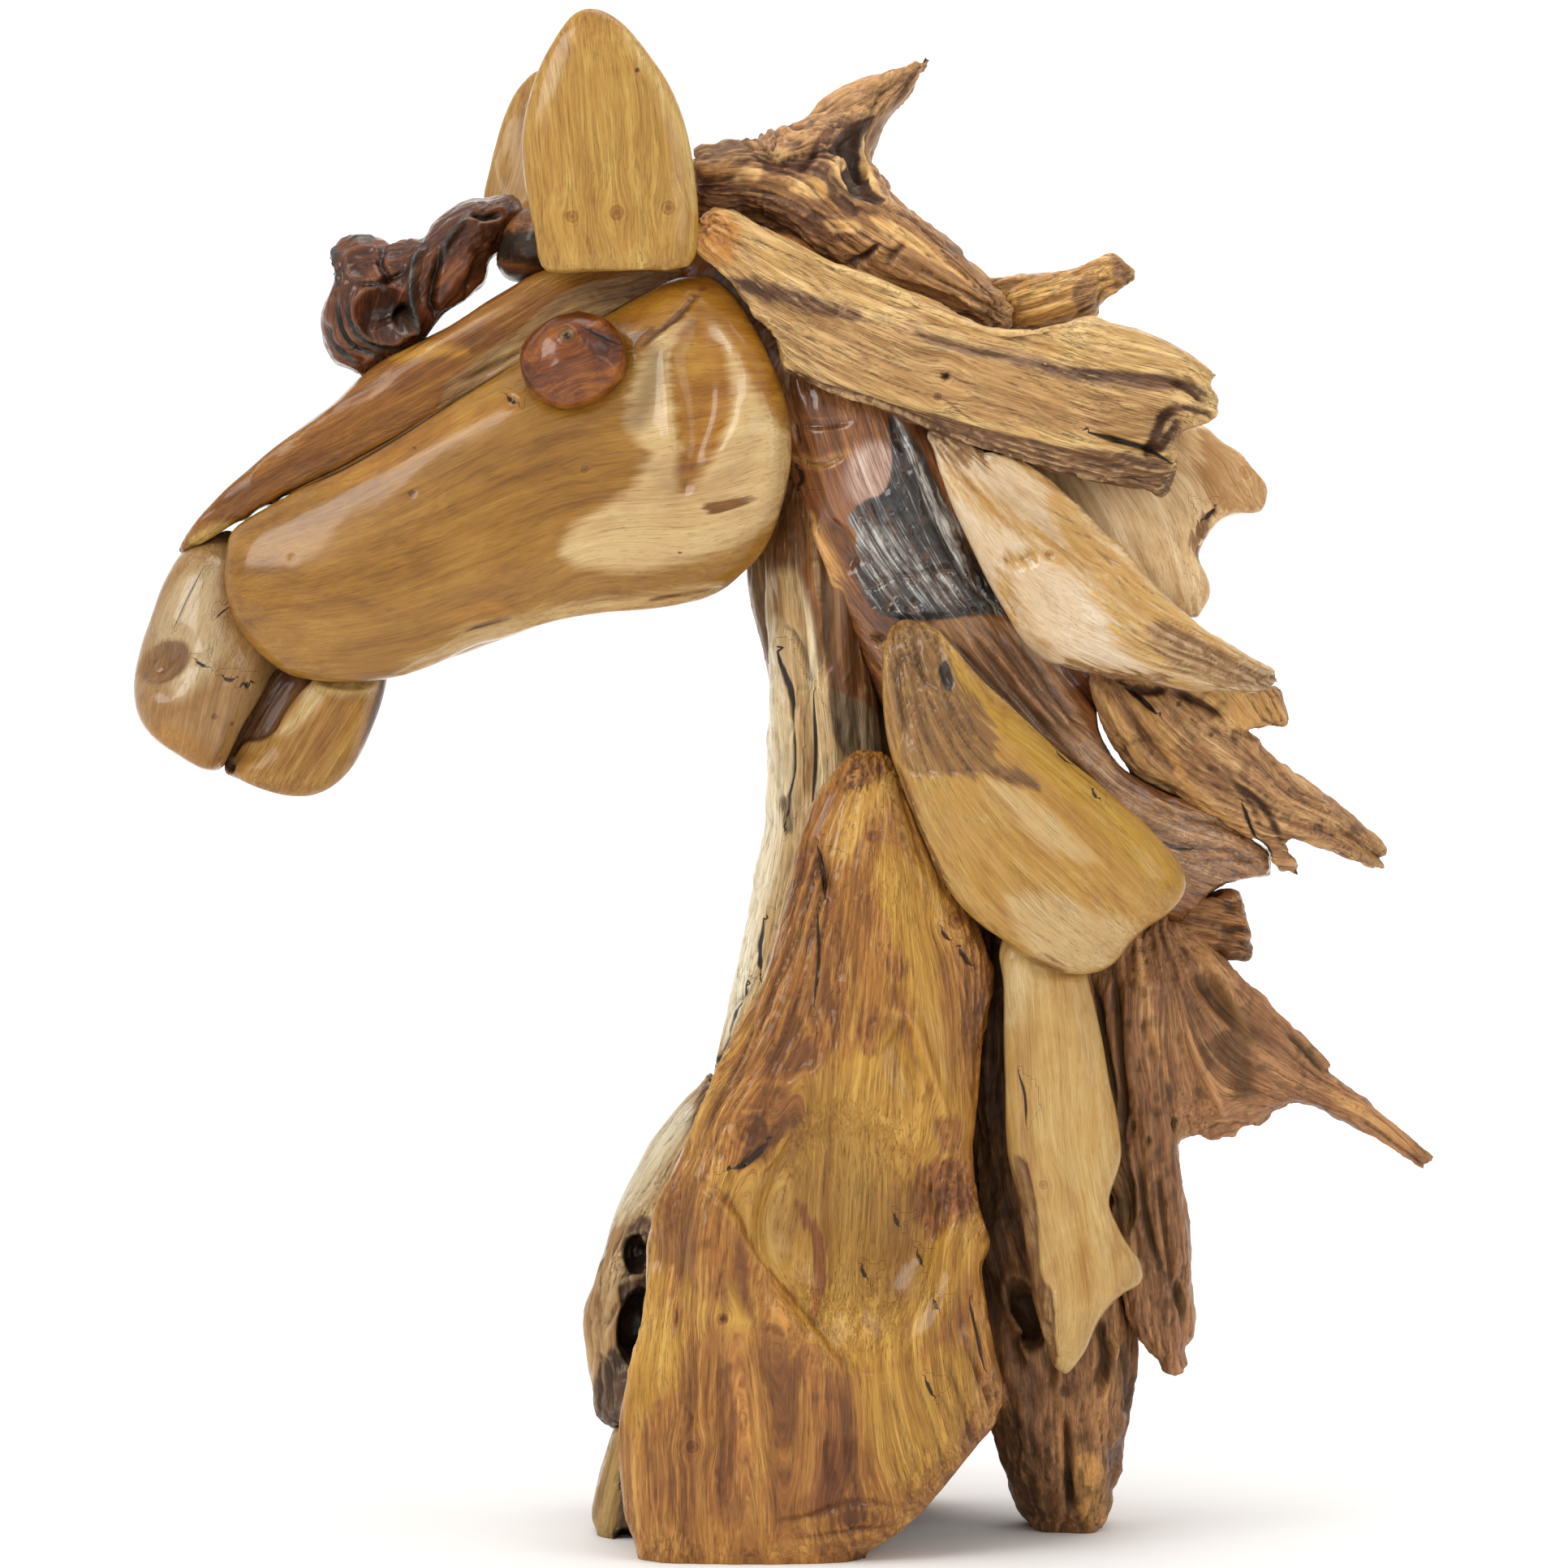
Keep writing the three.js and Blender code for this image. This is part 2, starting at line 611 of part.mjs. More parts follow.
function boxesMeet(a, b) {
  const [p, q] = [a.boundingBox(), b.boundingBox()];
  return [0, 1, 2].every((axis) => p.min[axis] < q.max[axis] && q.min[axis] < p.max[axis]);
}

function largest(solid) {
  return solid.decompose().reduce((best, part) => (part.volume() > best.volume() ? part : best));
}

function toMesh(piece, solid) {
  const data = solid.getMesh();
  const geometry = new THREE.BufferGeometry();
  geometry.setAttribute('position', new THREE.BufferAttribute(Float32Array.from(data.vertProperties), 3));
  geometry.setIndex(new THREE.BufferAttribute(Uint32Array.from(data.triVerts), 1));
  geometry.computeVertexNormals();
  const material = new THREE.MeshStandardMaterial({
    color: piece.wood,
    roughness: piece.roughness ?? 0.45,
    metalness: 0,
  });
  const mesh = new THREE.Mesh(geometry, material);
  mesh.name = piece.name;
  return mesh;
}

function assemble() {
  const group = new THREE.Group();
  const finished = [];
  for (const piece of PIECES) {
    let solid = body(piece);
    for (const hollow of piece.cuts ?? []) {
      solid = solid.subtract(egg(hollow));
    }
    for (const cutter of finished) {
      if (boxesMeet(solid, cutter)) {
        solid = solid.subtract(cutter);
      }
    }
    if (piece.standing) {
      solid = solid.subtract(underFloor);
    }
    finished.push(body(piece, TOUCH_GAP));
    group.add(toMesh(piece, largest(solid)));
  }
  return group;
}

const group = assemble();

export default group;
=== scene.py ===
"""Looks of the driftwood horse head: every piece of wood gets its own carved mesh and grain.

Marks and carved lines are placed where they are seen from the camera, in the units of SEEN
(half millimetres on the upright plane through the middle of the sculpture, from its top left).
Depths, heights and grain sizes are in millimetres. Colours are as they are seen, from 0 to 255.
"""
import math
from types import SimpleNamespace

import bmesh
import bpy
import numpy as np
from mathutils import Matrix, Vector

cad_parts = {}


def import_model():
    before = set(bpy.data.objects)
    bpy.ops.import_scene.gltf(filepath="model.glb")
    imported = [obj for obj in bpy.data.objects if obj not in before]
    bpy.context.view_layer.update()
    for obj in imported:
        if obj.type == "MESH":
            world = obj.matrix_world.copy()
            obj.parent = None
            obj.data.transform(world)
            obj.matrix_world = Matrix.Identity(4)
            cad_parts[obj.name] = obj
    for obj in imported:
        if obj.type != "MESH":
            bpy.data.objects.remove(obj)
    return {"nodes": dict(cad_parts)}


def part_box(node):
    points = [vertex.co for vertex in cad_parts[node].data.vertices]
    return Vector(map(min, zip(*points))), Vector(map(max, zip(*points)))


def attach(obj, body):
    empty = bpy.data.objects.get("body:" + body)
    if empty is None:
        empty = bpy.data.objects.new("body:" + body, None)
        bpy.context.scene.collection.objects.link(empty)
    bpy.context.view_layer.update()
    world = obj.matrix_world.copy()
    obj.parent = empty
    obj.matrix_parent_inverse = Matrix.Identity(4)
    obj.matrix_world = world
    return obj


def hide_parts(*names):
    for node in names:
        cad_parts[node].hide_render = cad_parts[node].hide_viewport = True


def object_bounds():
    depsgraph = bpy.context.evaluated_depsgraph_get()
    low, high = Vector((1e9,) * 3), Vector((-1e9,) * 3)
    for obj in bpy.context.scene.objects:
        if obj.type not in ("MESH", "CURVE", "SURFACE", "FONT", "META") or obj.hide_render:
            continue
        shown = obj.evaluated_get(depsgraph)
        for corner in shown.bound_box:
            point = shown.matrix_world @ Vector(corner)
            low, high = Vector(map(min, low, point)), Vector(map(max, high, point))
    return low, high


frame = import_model()
NODES = frame["nodes"]
cad_low, cad_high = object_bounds()

# Metres; the two margins are in the units of SEEN, and the sensor's width is in millimetres
MM = 0.001
SEEN = 0.0005
SEEN_MM = SEEN / MM
VIEW_DISTANCE = 3.0
VIEW_HEIGHT = 0.459
VIEW_CENTRE = (0.483, 0.477)
VIEW_TOP = 0.960
VIEW_WIDTH = 0.966
SENSOR_WIDTH = 36.0

COARSE_VOXEL = 4.5 * MM
FINE_VOXEL = 3.0 * MM
FLAT_FOOT = 1.5 * MM
PRISM_REACH = 0.2
SEEN_MARGIN = 40
COVER_MARGIN = 14

# How far a face has to turn to the camera to be worked on at all, fully, and to be split
FACING_STARTS = 0.05
FACING_FULL = 0.45
FACING_SPLIT = 0.25

UNMARKED = -30.0
FAR_OFF = 9.0


# Outlines of the pieces, as they are seen

EAR_OUTLINE = [
    (728, 12), (755, 22), (778, 42), (800, 70), (820, 98), (835, 130), (846, 165), (852, 200), (857, 240),
    (858, 280), (850, 326), (790, 330), (730, 333), (672, 333), (662, 295), (652, 245), (645, 190),
    (647, 150), (656, 112), (668, 80), (682, 55), (705, 22),
]
FAR_EAR_OUTLINE = [
    (668, 86), (650, 98), (635, 116), (621, 146), (612, 182), (605, 215), (598, 245), (610, 270),
    (650, 290), (720, 290), (720, 80),
]
CHEEK_OUTLINE = [
    (285, 653), (318, 633), (350, 613), (384, 597), (417, 580), (452, 561), (485, 542), (522, 518),
    (560, 494), (600, 470), (640, 445), (680, 424), (720, 403), (760, 380), (800, 358), (832, 343),
    (862, 335), (884, 348), (905, 367), (926, 400), (945, 440), (960, 475), (970, 510), (974, 545),
    (972, 580), (965, 612), (957, 640), (945, 668), (932, 687), (915, 703), (899, 718), (880, 732),
    (845, 742), (800, 750), (760, 752), (720, 757), (690, 762), (660, 770), (630, 780), (600, 791),
    (570, 803), (540, 815), (512, 826), (485, 834), (458, 838), (430, 839), (398, 838), (365, 833),
    (350, 827), (338, 818), (325, 808), (312, 795), (300, 780), (293, 768), (284, 745), (279, 720),
    (279, 705), (281, 688),
]
PLANK_OUTLINE = [
    (220, 683), (226, 668), (234, 655), (247, 638), (262, 621), (281, 602), (300, 586), (322, 567),
    (345, 548),
    (372, 528), (400, 508), (422, 490), (445, 466), (470, 447), (500, 432), (530, 416), (560, 400),
    (600, 374),
    (640, 350), (672, 334), (740, 328), (850, 325), (870, 352), (832, 374), (800, 390), (760, 412),
    (720, 434),
    (680, 455), (640, 476), (600, 500), (560, 524), (522, 548), (485, 571), (452, 588), (417, 602),
    (384, 612),
    (366, 612), (360, 603), (344, 611), (338, 623), (332, 618), (308, 631), (303, 642), (299, 638),
    (284, 646), (250, 668),
]
MUZZLE_OUTLINE = [
    (222, 684), (236, 676), (250, 669), (268, 660), (284, 652), (310, 650), (330, 700), (340, 760),
    (350, 818),
    (338, 824), (332, 835), (325, 850), (312, 872), (300, 890), (292, 906), (285, 922), (277, 938),
    (268, 950),
    (245, 945), (220, 930), (200, 917), (185, 903), (175, 889), (170, 875), (167, 860), (167, 845),
    (169, 827),
    (173, 810), (178, 790), (186, 768), (193, 745), (203, 718),
]
CHIN_OUTLINE = [
    (330, 800), (380, 800), (450, 800), (486, 812), (477, 828), (472, 850), (465, 872), (457, 893),
    (448, 915),
    (437, 938), (424, 954), (410, 966), (393, 975), (375, 979), (357, 978), (340, 975), (318, 968),
    (300, 961),
    (284, 955), (268, 950), (274, 934), (280, 918), (292, 890), (315, 850),
]
FORELOCK_OUTLINE = [
    (397, 396), (401, 378), (412, 352), (416, 336), (411, 318), (415, 302), (427, 290), (445, 290),
    (462, 290), (472, 298), (480, 306), (497, 298), (512, 297), (522, 300), (530, 285), (540, 270),
    (552, 258), (566, 252), (585, 247), (602, 247), (620, 241), (638, 241), (650, 258), (648, 274),
    (636, 292), (620, 304), (604, 318), (600, 330), (596, 348), (582, 358), (572, 370), (560, 376),
    (545, 385), (535, 397), (528, 410), (512, 424), (500, 432), (488, 436), (470, 450), (450, 462),
    (432, 452), (415, 448), (405, 436), (398, 420),
]
HORN_OUTLINE = [
    (857, 188), (878, 186), (900, 180), (926, 173), (950, 168), (976, 158), (1000, 146), (1018, 130),
    (1035, 118), (1052, 109), (1070, 102), (1090, 98), (1103, 95), (1116, 89), (1130, 78), (1143, 66),
    (1150, 71), (1140, 84), (1130, 99), (1120, 114), (1110, 128), (1098, 139), (1088, 150), (1081, 162),
    (1075, 176), (1073, 188), (1075, 200), (1080, 214), (1087, 228), (1090, 240), (1105, 252), (1125, 263),
    (1148, 275), (1168, 292), (1180, 296), (1188, 306), (1186, 318), (1198, 328), (1212, 342), (1236, 358),
    (1262, 376), (1290, 395), (1250, 412), (1200, 420), (1100, 380), (1000, 330), (900, 285), (857, 270),
]
SPUR_OUTLINE = [
    (1200, 344), (1240, 341), (1280, 338), (1303, 335), (1325, 331), (1340, 325), (1356, 319), (1372, 313),
    (1380, 320), (1385, 329), (1397, 334), (1398, 345), (1388, 352), (1375, 360), (1360, 366), (1354, 378),
    (1347, 393), (1300, 410), (1220, 402), (1190, 370),
]
CREST_OUTLINE = [
    (858, 278), (864, 264), (880, 256), (900, 256), (924, 268), (950, 283), (985, 300), (1020, 318),
    (1060, 335), (1100, 353), (1140, 370), (1180, 386), (1206, 396), (1230, 402), (1260, 402), (1290, 400),
    (1318, 394), (1345, 391), (1374, 397), (1400, 404), (1425, 413), (1450, 424), (1468, 434), (1485, 445),
    (1495, 453), (1501, 462), (1497, 471), (1486, 470), (1484, 474), (1492, 479), (1499, 484), (1497, 498),
    (1495, 512), (1478, 518), (1462, 527), (1450, 537), (1448, 552), (1453, 572), (1446, 582), (1441, 594),
    (1436, 609), (1418, 604), (1400, 600), (1374, 596), (1350, 592), (1324, 586), (1300, 580), (1274, 573),
    (1250, 566), (1224, 557), (1200, 549), (1174, 541), (1150, 533), (1126, 522), (1100, 510), (1070, 498),
    (1040, 488), (1018, 479), (1000, 471), (982, 463), (966, 454), (960, 430), (948, 404), (932, 380),
    (915, 358), (898, 340), (880, 322), (866, 310), (858, 300),
]
BLADE_OUTLINE = [
    (1138, 528), (1150, 549), (1158, 575), (1170, 610), (1185, 645), (1202, 682), (1220, 720), (1245, 765),
    (1262, 790), (1282, 812), (1310, 818), (1350, 828), (1380, 832), (1412, 838), (1450, 845), (1480, 852),
    (1505, 848), (1530, 862), (1552, 866), (1574, 850), (1572, 836), (1568, 828), (1548, 818), (1520, 802),
    (1500, 788), (1480, 776), (1466, 760), (1448, 742), (1430, 727), (1412, 708), (1396, 692), (1380, 676),
    (1362, 664), (1342, 642), (1326, 624), (1308, 606), (1290, 590), (1268, 574), (1240, 562), (1212, 552),
    (1196, 543), (1170, 536),
]
FLAP_OUTLINE = [
    (1450, 534), (1466, 527), (1482, 524), (1493, 533), (1505, 545), (1518, 552), (1530, 560), (1542, 578),
    (1554, 590), (1562, 602), (1560, 616), (1553, 632), (1532, 631), (1510, 635), (1496, 648), (1486, 660),
    (1478, 674), (1474, 684), (1478, 695), (1488, 714), (1490, 728), (1487, 742), (1478, 752), (1474, 762),
    (1440, 750), (1400, 722), (1300, 660), (1220, 540), (1330, 540), (1400, 550),
]
CLAW_OUTLINE = [
    (1350, 832), (1400, 838), (1475, 842), (1540, 852), (1571, 846), (1580, 866), (1588, 884), (1584, 895),
    (1574, 901), (1562, 896), (1545, 893), (1520, 893), (1538, 912), (1556, 925), (1580, 944), (1602, 962),
    (1626, 980), (1650, 1000), (1668, 1014), (1686, 1030), (1704, 1048), (1702, 1062), (1693, 1067),
    (1680, 1058), (1660, 1050), (1640, 1040), (1616, 1032), (1592, 1028), (1584, 1036), (1590, 1052),
    (1598, 1068), (1604, 1080), (1596, 1083), (1580, 1071), (1570, 1060), (1558, 1040), (1540, 1034),
    (1500, 1012), (1470, 994), (1440, 978), (1412, 964), (1390, 946), (1376, 920), (1365, 896), (1358, 870),
]
STUB_OUTLINE = [
    (1470, 1096), (1485, 1092), (1500, 1090), (1514, 1095), (1525, 1101), (1531, 1118), (1534, 1136),
    (1540, 1150), (1538, 1162), (1544, 1174), (1538, 1184), (1524, 1180), (1510, 1184), (1490, 1176),
    (1470, 1180), (1440, 1170), (1430, 1100),
]
FAN_OUTLINE = [
    (1330, 1120), (1450, 1128), (1462, 1142), (1478, 1158), (1500, 1180), (1520, 1198), (1536, 1216),
    (1550, 1225), (1566, 1244), (1584, 1260), (1600, 1275), (1614, 1290), (1629, 1301), (1636, 1314),
    (1632, 1320), (1648, 1330), (1662, 1342), (1682, 1356), (1700, 1374), (1722, 1392), (1746, 1410),
    (1768, 1428), (1764, 1440), (1757, 1444), (1738, 1430), (1718, 1416), (1698, 1402), (1680, 1394),
    (1656, 1382), (1634, 1370), (1612, 1360), (1592, 1357), (1580, 1364), (1568, 1378), (1560, 1392),
    (1552, 1396), (1544, 1390), (1536, 1386), (1528, 1394), (1521, 1409), (1514, 1400), (1508, 1398),
    (1502, 1404), (1497, 1419), (1490, 1408), (1480, 1400), (1466, 1402), (1451, 1407), (1452, 1430),
    (1459, 1470), (1464, 1510), (1466, 1550), (1472, 1600), (1474, 1630), (1470, 1652), (1462, 1656),
    (1452, 1644), (1458, 1664), (1465, 1690), (1455, 1696), (1443, 1698), (1430, 1684), (1414, 1670),
    (1404, 1658), (1396, 1648), (1384, 1600), (1372, 1500), (1350, 1400), (1330, 1300),
]
BOARD_OUTLINE = [
    (1238, 1150), (1239, 1210), (1238, 1270), (1240, 1330), (1240, 1385), (1244, 1440), (1250, 1500),
    (1254, 1550), (1260, 1600), (1268, 1640), (1282, 1670), (1298, 1688), (1311, 1694), (1318, 1688),
    (1326, 1678), (1336, 1664), (1344, 1645), (1352, 1626), (1366, 1608), (1382, 1592), (1398, 1584),
    (1407, 1580), (1405, 1566), (1402, 1553), (1390, 1538), (1380, 1522), (1372, 1503), (1365, 1488),
    (1366, 1470), (1374, 1448), (1380, 1425), (1378, 1400), (1372, 1366), (1364, 1334), (1356, 1288),
    (1346, 1238), (1336, 1195), (1332, 1150),
]
NECK_SLAB_OUTLINE = [
    (1104, 766), (1096, 780), (1090, 800), (1088, 822), (1089, 860), (1093, 900), (1100, 932), (1112, 962),
    (1125, 996), (1138, 1030), (1150, 1064), (1168, 1094), (1190, 1120), (1216, 1143), (1245, 1162),
    (1264, 1178), (1282, 1190), (1306, 1196), (1330, 1198), (1356, 1194), (1375, 1181), (1390, 1160),
    (1410, 1141), (1432, 1128), (1450, 1112), (1459, 1094), (1456, 1072), (1444, 1054), (1430, 1038),
    (1404, 1012), (1376, 988), (1350, 964), (1320, 940), (1290, 914), (1262, 890), (1236, 866), (1212, 842),
    (1190, 818), (1170, 795), (1152, 775), (1130, 767),
]
CHEST_OUTLINE = [
    (1050, 925), (1036, 938), (1020, 960), (1000, 986), (988, 1020), (980, 1050), (974, 1084), (964, 1120),
    (954, 1160), (944, 1200), (924, 1244), (900, 1290), (880, 1334), (860, 1380), (840, 1425), (820, 1470),
    (806, 1500), (797, 1538), (798, 1588), (792, 1630), (780, 1670), (770, 1714), (764, 1742), (762, 1780),
    (765, 1826), (770, 1870), (778, 1892), (784, 1912), (784, 1960), (1070, 1960), (1078, 1906),
    (1092, 1899), (1114, 1884), (1136, 1864), (1164, 1830), (1190, 1795), (1214, 1766), (1237, 1738),
    (1236, 1712), (1228, 1680), (1218, 1620), (1208, 1562), (1216, 1546), (1220, 1530), (1212, 1508),
    (1204, 1480), (1198, 1440), (1199, 1400), (1204, 1360), (1210, 1300), (1220, 1250), (1226, 1200),
    (1225, 1140), (1200, 1110), (1176, 1084), (1156, 1052), (1138, 1020), (1120, 985), (1104, 945),
    (1090, 928), (1072, 921),
]
FRONT_OUTLINE = [
    (960, 1180), (912, 1216), (894, 1262), (880, 1300), (872, 1322), (860, 1338), (850, 1346), (836, 1362),
    (818, 1386), (800, 1410), (786, 1440), (772, 1472), (760, 1500), (750, 1530), (740, 1560), (733, 1582),
    (725, 1602), (721, 1622), (724, 1660), (727, 1690), (734, 1716), (735, 1746), (745, 1752), (756, 1759),
    (790, 1750), (900, 1740), (960, 1500),
]
FOOT_OUTLINE = [
    (768, 1735), (758, 1760), (748, 1790), (741, 1815), (735, 1840), (731, 1858), (730, 1872), (736, 1886),
    (742, 1893), (750, 1899), (758, 1890), (766, 1882), (772, 1874), (790, 1900), (840, 1900), (840, 1735),
]
TRUNK_OUTLINE = [
    (780, 260), (1100, 300), (1160, 500), (1200, 600), (1260, 690), (1300, 760), (1345, 830), (1349, 872),
    (1350, 900),
    (1364, 928), (1386, 952), (1440, 980), (1490, 996), (1500, 1010), (1520, 1022), (1545, 1038),
    (1564, 1052),
    (1562, 1066), (1566, 1076), (1540, 1080), (1505, 1088), (1492, 1098), (1478, 1112), (1440, 1140),
    (1300, 1140), (1000, 1000), (900, 700),
]

# Limbs that fill the trunk out: x and y in the view, depth, radius
TRUNK_FILL = [
    [(1230, 760, -28, 8), (1290, 815, -28, 16), (1335, 850, -28, 14), (1352, 890, -28, 6)],
    [(1400, 1080, -14, 12), (1470, 1098, -14, 14), (1500, 1094, -14, 6)],
]


# Noise

def lattice(cell, seed):
    """A repeatable number from -1 to 1 for each row of whole numbers."""
    n = cell[:, 0] * 73856093 ^ cell[:, 1] * 19349663 ^ cell[:, 2] * 83492791 ^ seed * 40503
    n = (n ^ (n >> 13)) * 1274126177 & 0xFFFFFFFF
    n = (n ^ (n >> 15)) * 2246822519 & 0xFFFFFFFF
    return ((n ^ (n >> 16)) & 0xFFFFFF) / float(0x7FFFFF) - 1


def noise(points, seed):
    """Smooth noise from -1 to 1 between the points of a lattice."""
    base = np.floor(points)
    t = points - base
    t = t * t * t * (t * (t * 6 - 15) + 10)
    base = base.astype(np.int64)
    total = 0
    for corner in range(8):
        offset = np.array([corner & 1, corner >> 1 & 1, corner >> 2 & 1])
        share = np.prod(np.where(offset == 1, t, 1 - t), axis=1)
        total = total + share * lattice(base + offset, seed)
    return total


def fractal(points, seed, octaves=3):
    """Noise on several scales, each half the size and strength of the one before."""
    total, size = 0, 0
    for octave in range(octaves):
        total = total + noise(points * 2 ** octave, seed + octave * 17) / 2 ** octave
        size += 1 / 2 ** octave
    return total / size


def smooth_step(low, high, value):
    t = np.clip((value - low) / (high - low), 0, 1)
    return t * t * (3 - 2 * t)


# Curves in the view

def curve(points, closed=False, steps=6):
    """Points along a smooth curve through the given ones."""
    p = np.array(points, float)
    if len(p) < 3 and not closed:
        return p
    if closed:
        p = np.vstack([p[-1], p, p[0], p[1]])
    else:
        p = np.vstack([2 * p[0] - p[1], p, 2 * p[-1] - p[-2]])
    out = []
    for i in range(1, len(p) - 2):
        for t in np.arange(steps) / steps:
            a = 2 * p[i] - 2 * p[i + 1] + (p[i + 1] - p[i - 1]) / 2 + (p[i + 2] - p[i]) / 2
            slope = (p[i + 1] - p[i - 1]) / 2
            b = 3 * (p[i + 1] - p[i]) - 2 * slope - (p[i + 2] - p[i]) / 2
            out.append(((a * t + b) * t + slope) * t + p[i])
    if not closed:
        out.append(p[-2])
    return np.array(out)


def grown(line, by=2.0):
    """A closed line moved outwards."""
    before, after = np.roll(line, 1, axis=0), np.roll(line, -1, axis=0)
    along = after - before
    out = np.stack([along[:, 1], -along[:, 0]], axis=1) / np.maximum(np.hypot(*along.T), 1e-9)[:, None]
    area = np.sum(before[:, 0] * line[:, 1] - line[:, 0] * before[:, 1])
    return line + out * by * (1 if area > 0 else -1)


def nearest(line, at):
    """Distance to a line, with its sign by side, and the length along it, for each point."""
    best = np.full(len(at), 1e9)
    signed = np.full(len(at), 1e9)
    run = np.zeros(len(at))
    done = 0.0
    for a, b in zip(line[:-1], line[1:]):
        step = b - a
        length = np.hypot(*step)
        t = np.clip(((at - a) @ step) / max(length ** 2, 1e-9), 0, 1)
        off = at - a - t[:, None] * step
        d = np.hypot(off[:, 0], off[:, 1])
        side = np.where(step[0] * off[:, 1] - step[1] * off[:, 0] < 0, -1.0, 1.0)
        closer = d < best
        best = np.where(closer, d, best)
        signed = np.where(closer, d * side, signed)
        run = np.where(closer, done + t * length, run)
        done += length
    return best, signed, run, done


def inside(line, at):
    """Distance to a closed line, positive inside it."""
    ring = np.vstack([line, line[:1]])
    d = nearest(ring, at)[0]
    odd = np.zeros(len(at), bool)
    for (ax, ay), (bx, by) in zip(ring[:-1], ring[1:]):
        crosses = (ay > at[:, 1]) != (by > at[:, 1])
        x = ax + (at[:, 1] - ay) / np.where(by == ay, 1e-9, by - ay) * (bx - ax)
        odd ^= crosses & (at[:, 0] < x)
    return np.where(odd, d, -d)


# Carving and marking tools. Each returns a function that works on the skin of one piece. The hollows that
# cut and dent carve also add to the painted shade.

MARKS = ("bark", "pale", "char", "gold")


def close_to(skin, line, reach):
    """The points that are seen within reach of a line."""
    low, high = line.min(0) - reach, line.max(0) + reach
    return np.flatnonzero(np.all((skin.seen > low) & (skin.seen < high), axis=1))


def ends(run, length, share):
    """From 0 at both ends of a line to 1 at the given share of its length from them."""
    return smooth_step(0, share, run / length) * smooth_step(0, share, 1 - run / length)


def cut(line, width, depth, mark=None):
    """A groove along a line, or a ridge where depth is negative."""
    path = curve(line)

    def work(skin):
        rows = close_to(skin, path, width * 2)
        d, _, run, length = nearest(path, skin.seen[rows])
        taper = ends(run, length, 0.25)
        profile = np.exp(-(d / (width * 0.5)) ** 2) * taper
        skin.height[rows] -= depth * profile * skin.facing[rows]
        skin.hollow_shade[rows] += profile * smooth_step(0, 6, depth) * skin.facing[rows]
        if mark:
            skin.mark(mark, rows, (width * (0.35 + 0.65 * taper) * 0.5 - d) * SEEN_MM)
    return work


def crack(line, width=3, depth=2.5):
    """A thin split, painted dark as the shade inside it."""
    path = curve(line)

    def work(skin):
        rows = close_to(skin, path, SEEN_MARGIN)
        d, signed, run, length = nearest(path, skin.seen[rows])
        past = np.where((run <= 0) | (run >= length), 3.0, 0.0)
        taper = ends(run, length, 0.3)
        value = signed * SEEN_MM / (0.3 + 0.7 * taper) / (width * 0.5) + past
        closer = np.abs(value) < np.abs(skin.split[rows])
        skin.split[rows] = np.where(closer, value, skin.split[rows])
        skin.height[rows] -= depth * taper * np.exp(-(d / (width * 1.4)) ** 2) * skin.facing[rows]
    return work


def dent(at, half, depth, tilt=0, mark=None, rim=0):
    """An egg-shaped hollow, or a lump where depth is negative. Tilt turns it clockwise, in degrees."""
    c, s = math.cos(math.radians(tilt)), math.sin(math.radians(tilt))

    def work(skin):
        rows = close_to(skin, np.array([at], float), max(half) * 2)
        off = skin.seen[rows] - np.array(at)
        x, y = off[:, 0] * c + off[:, 1] * s, off[:, 1] * c - off[:, 0] * s
        r = np.hypot(x / half[0], y / half[1])
        bowl = np.clip(1 - r * r, 0, 1) ** 1.2
        edge = np.exp(-((r - 1.05) / 0.16) ** 2)
        skin.height[rows] += (rim * edge - depth * bowl) * skin.facing[rows]
        skin.hollow_shade[rows] += bowl * smooth_step(0, 14, depth) * skin.facing[rows]
        if mark:
            skin.mark(mark, rows, (1 - r) * min(half) * SEEN_MM, max(1.0, 16 / min(half)))
    return work


def step(line, drop, fall=14, reach=90):
    """Lowers the side on the left of a line, seen in its own direction."""
    path = curve(line)

    def work(skin):
        rows = close_to(skin, path, reach)
        d, signed, run, length = nearest(path, skin.seen[rows])
        low = smooth_step(-fall, fall, -signed) * (1 - smooth_step(0.4 * reach, reach, d))
        skin.height[rows] -= drop * low * ends(run, length, 0.2) * skin.facing[rows]
    return work


def patch(mark, outline, drop=0.0, wall=3.0):
    """A part of the surface with its own colour, and lowered by drop with a slope of the width wall."""
    path = curve(outline, closed=True)

    def work(skin):
        rows = close_to(skin, path, SEEN_MARGIN)
        d = inside(path, skin.seen[rows]) * SEEN_MM
        if mark:
            skin.mark(mark, rows, d)
        if drop:
            skin.height[rows] -= drop * smooth_step(-wall / 3, wall, d) * skin.facing[rows]
    return work


def streak(mark, line, width):
    """A band of another colour along a line."""
    path = curve(line)

    def work(skin):
        rows = close_to(skin, path, width + SEEN_MARGIN)
        d, _, run, length = nearest(path, skin.seen[rows])
        taper = np.sqrt(np.clip(1 - (2 * run / length - 1) ** 4, 0, 1))
        skin.mark(mark, rows, (width * 0.5 * taper - d) * SEEN_MM)
    return work


def knot(at, radius, depth=0.6):
    """Rings round a small branch, which the grain flows round."""
    def work(skin):
        rows = close_to(skin, np.array([at], float), radius * 7)
        off = skin.seen[rows] - np.array(at)
        r = np.hypot(off[:, 0], off[:, 1]) / radius
        skin.ring[rows] = np.minimum(skin.ring[rows], r)
        skin.height[rows] -= depth * np.exp(-(r * 1.2) ** 2) * skin.facing[rows]
        here = np.argmin(r)
        spread = skin.across[rows] - skin.across[rows[here]]
        skin.across[rows] -= spread * 0.75 * np.exp(-(r / 2.6) ** 2)
    return work


# The skin of a piece while it is worked on

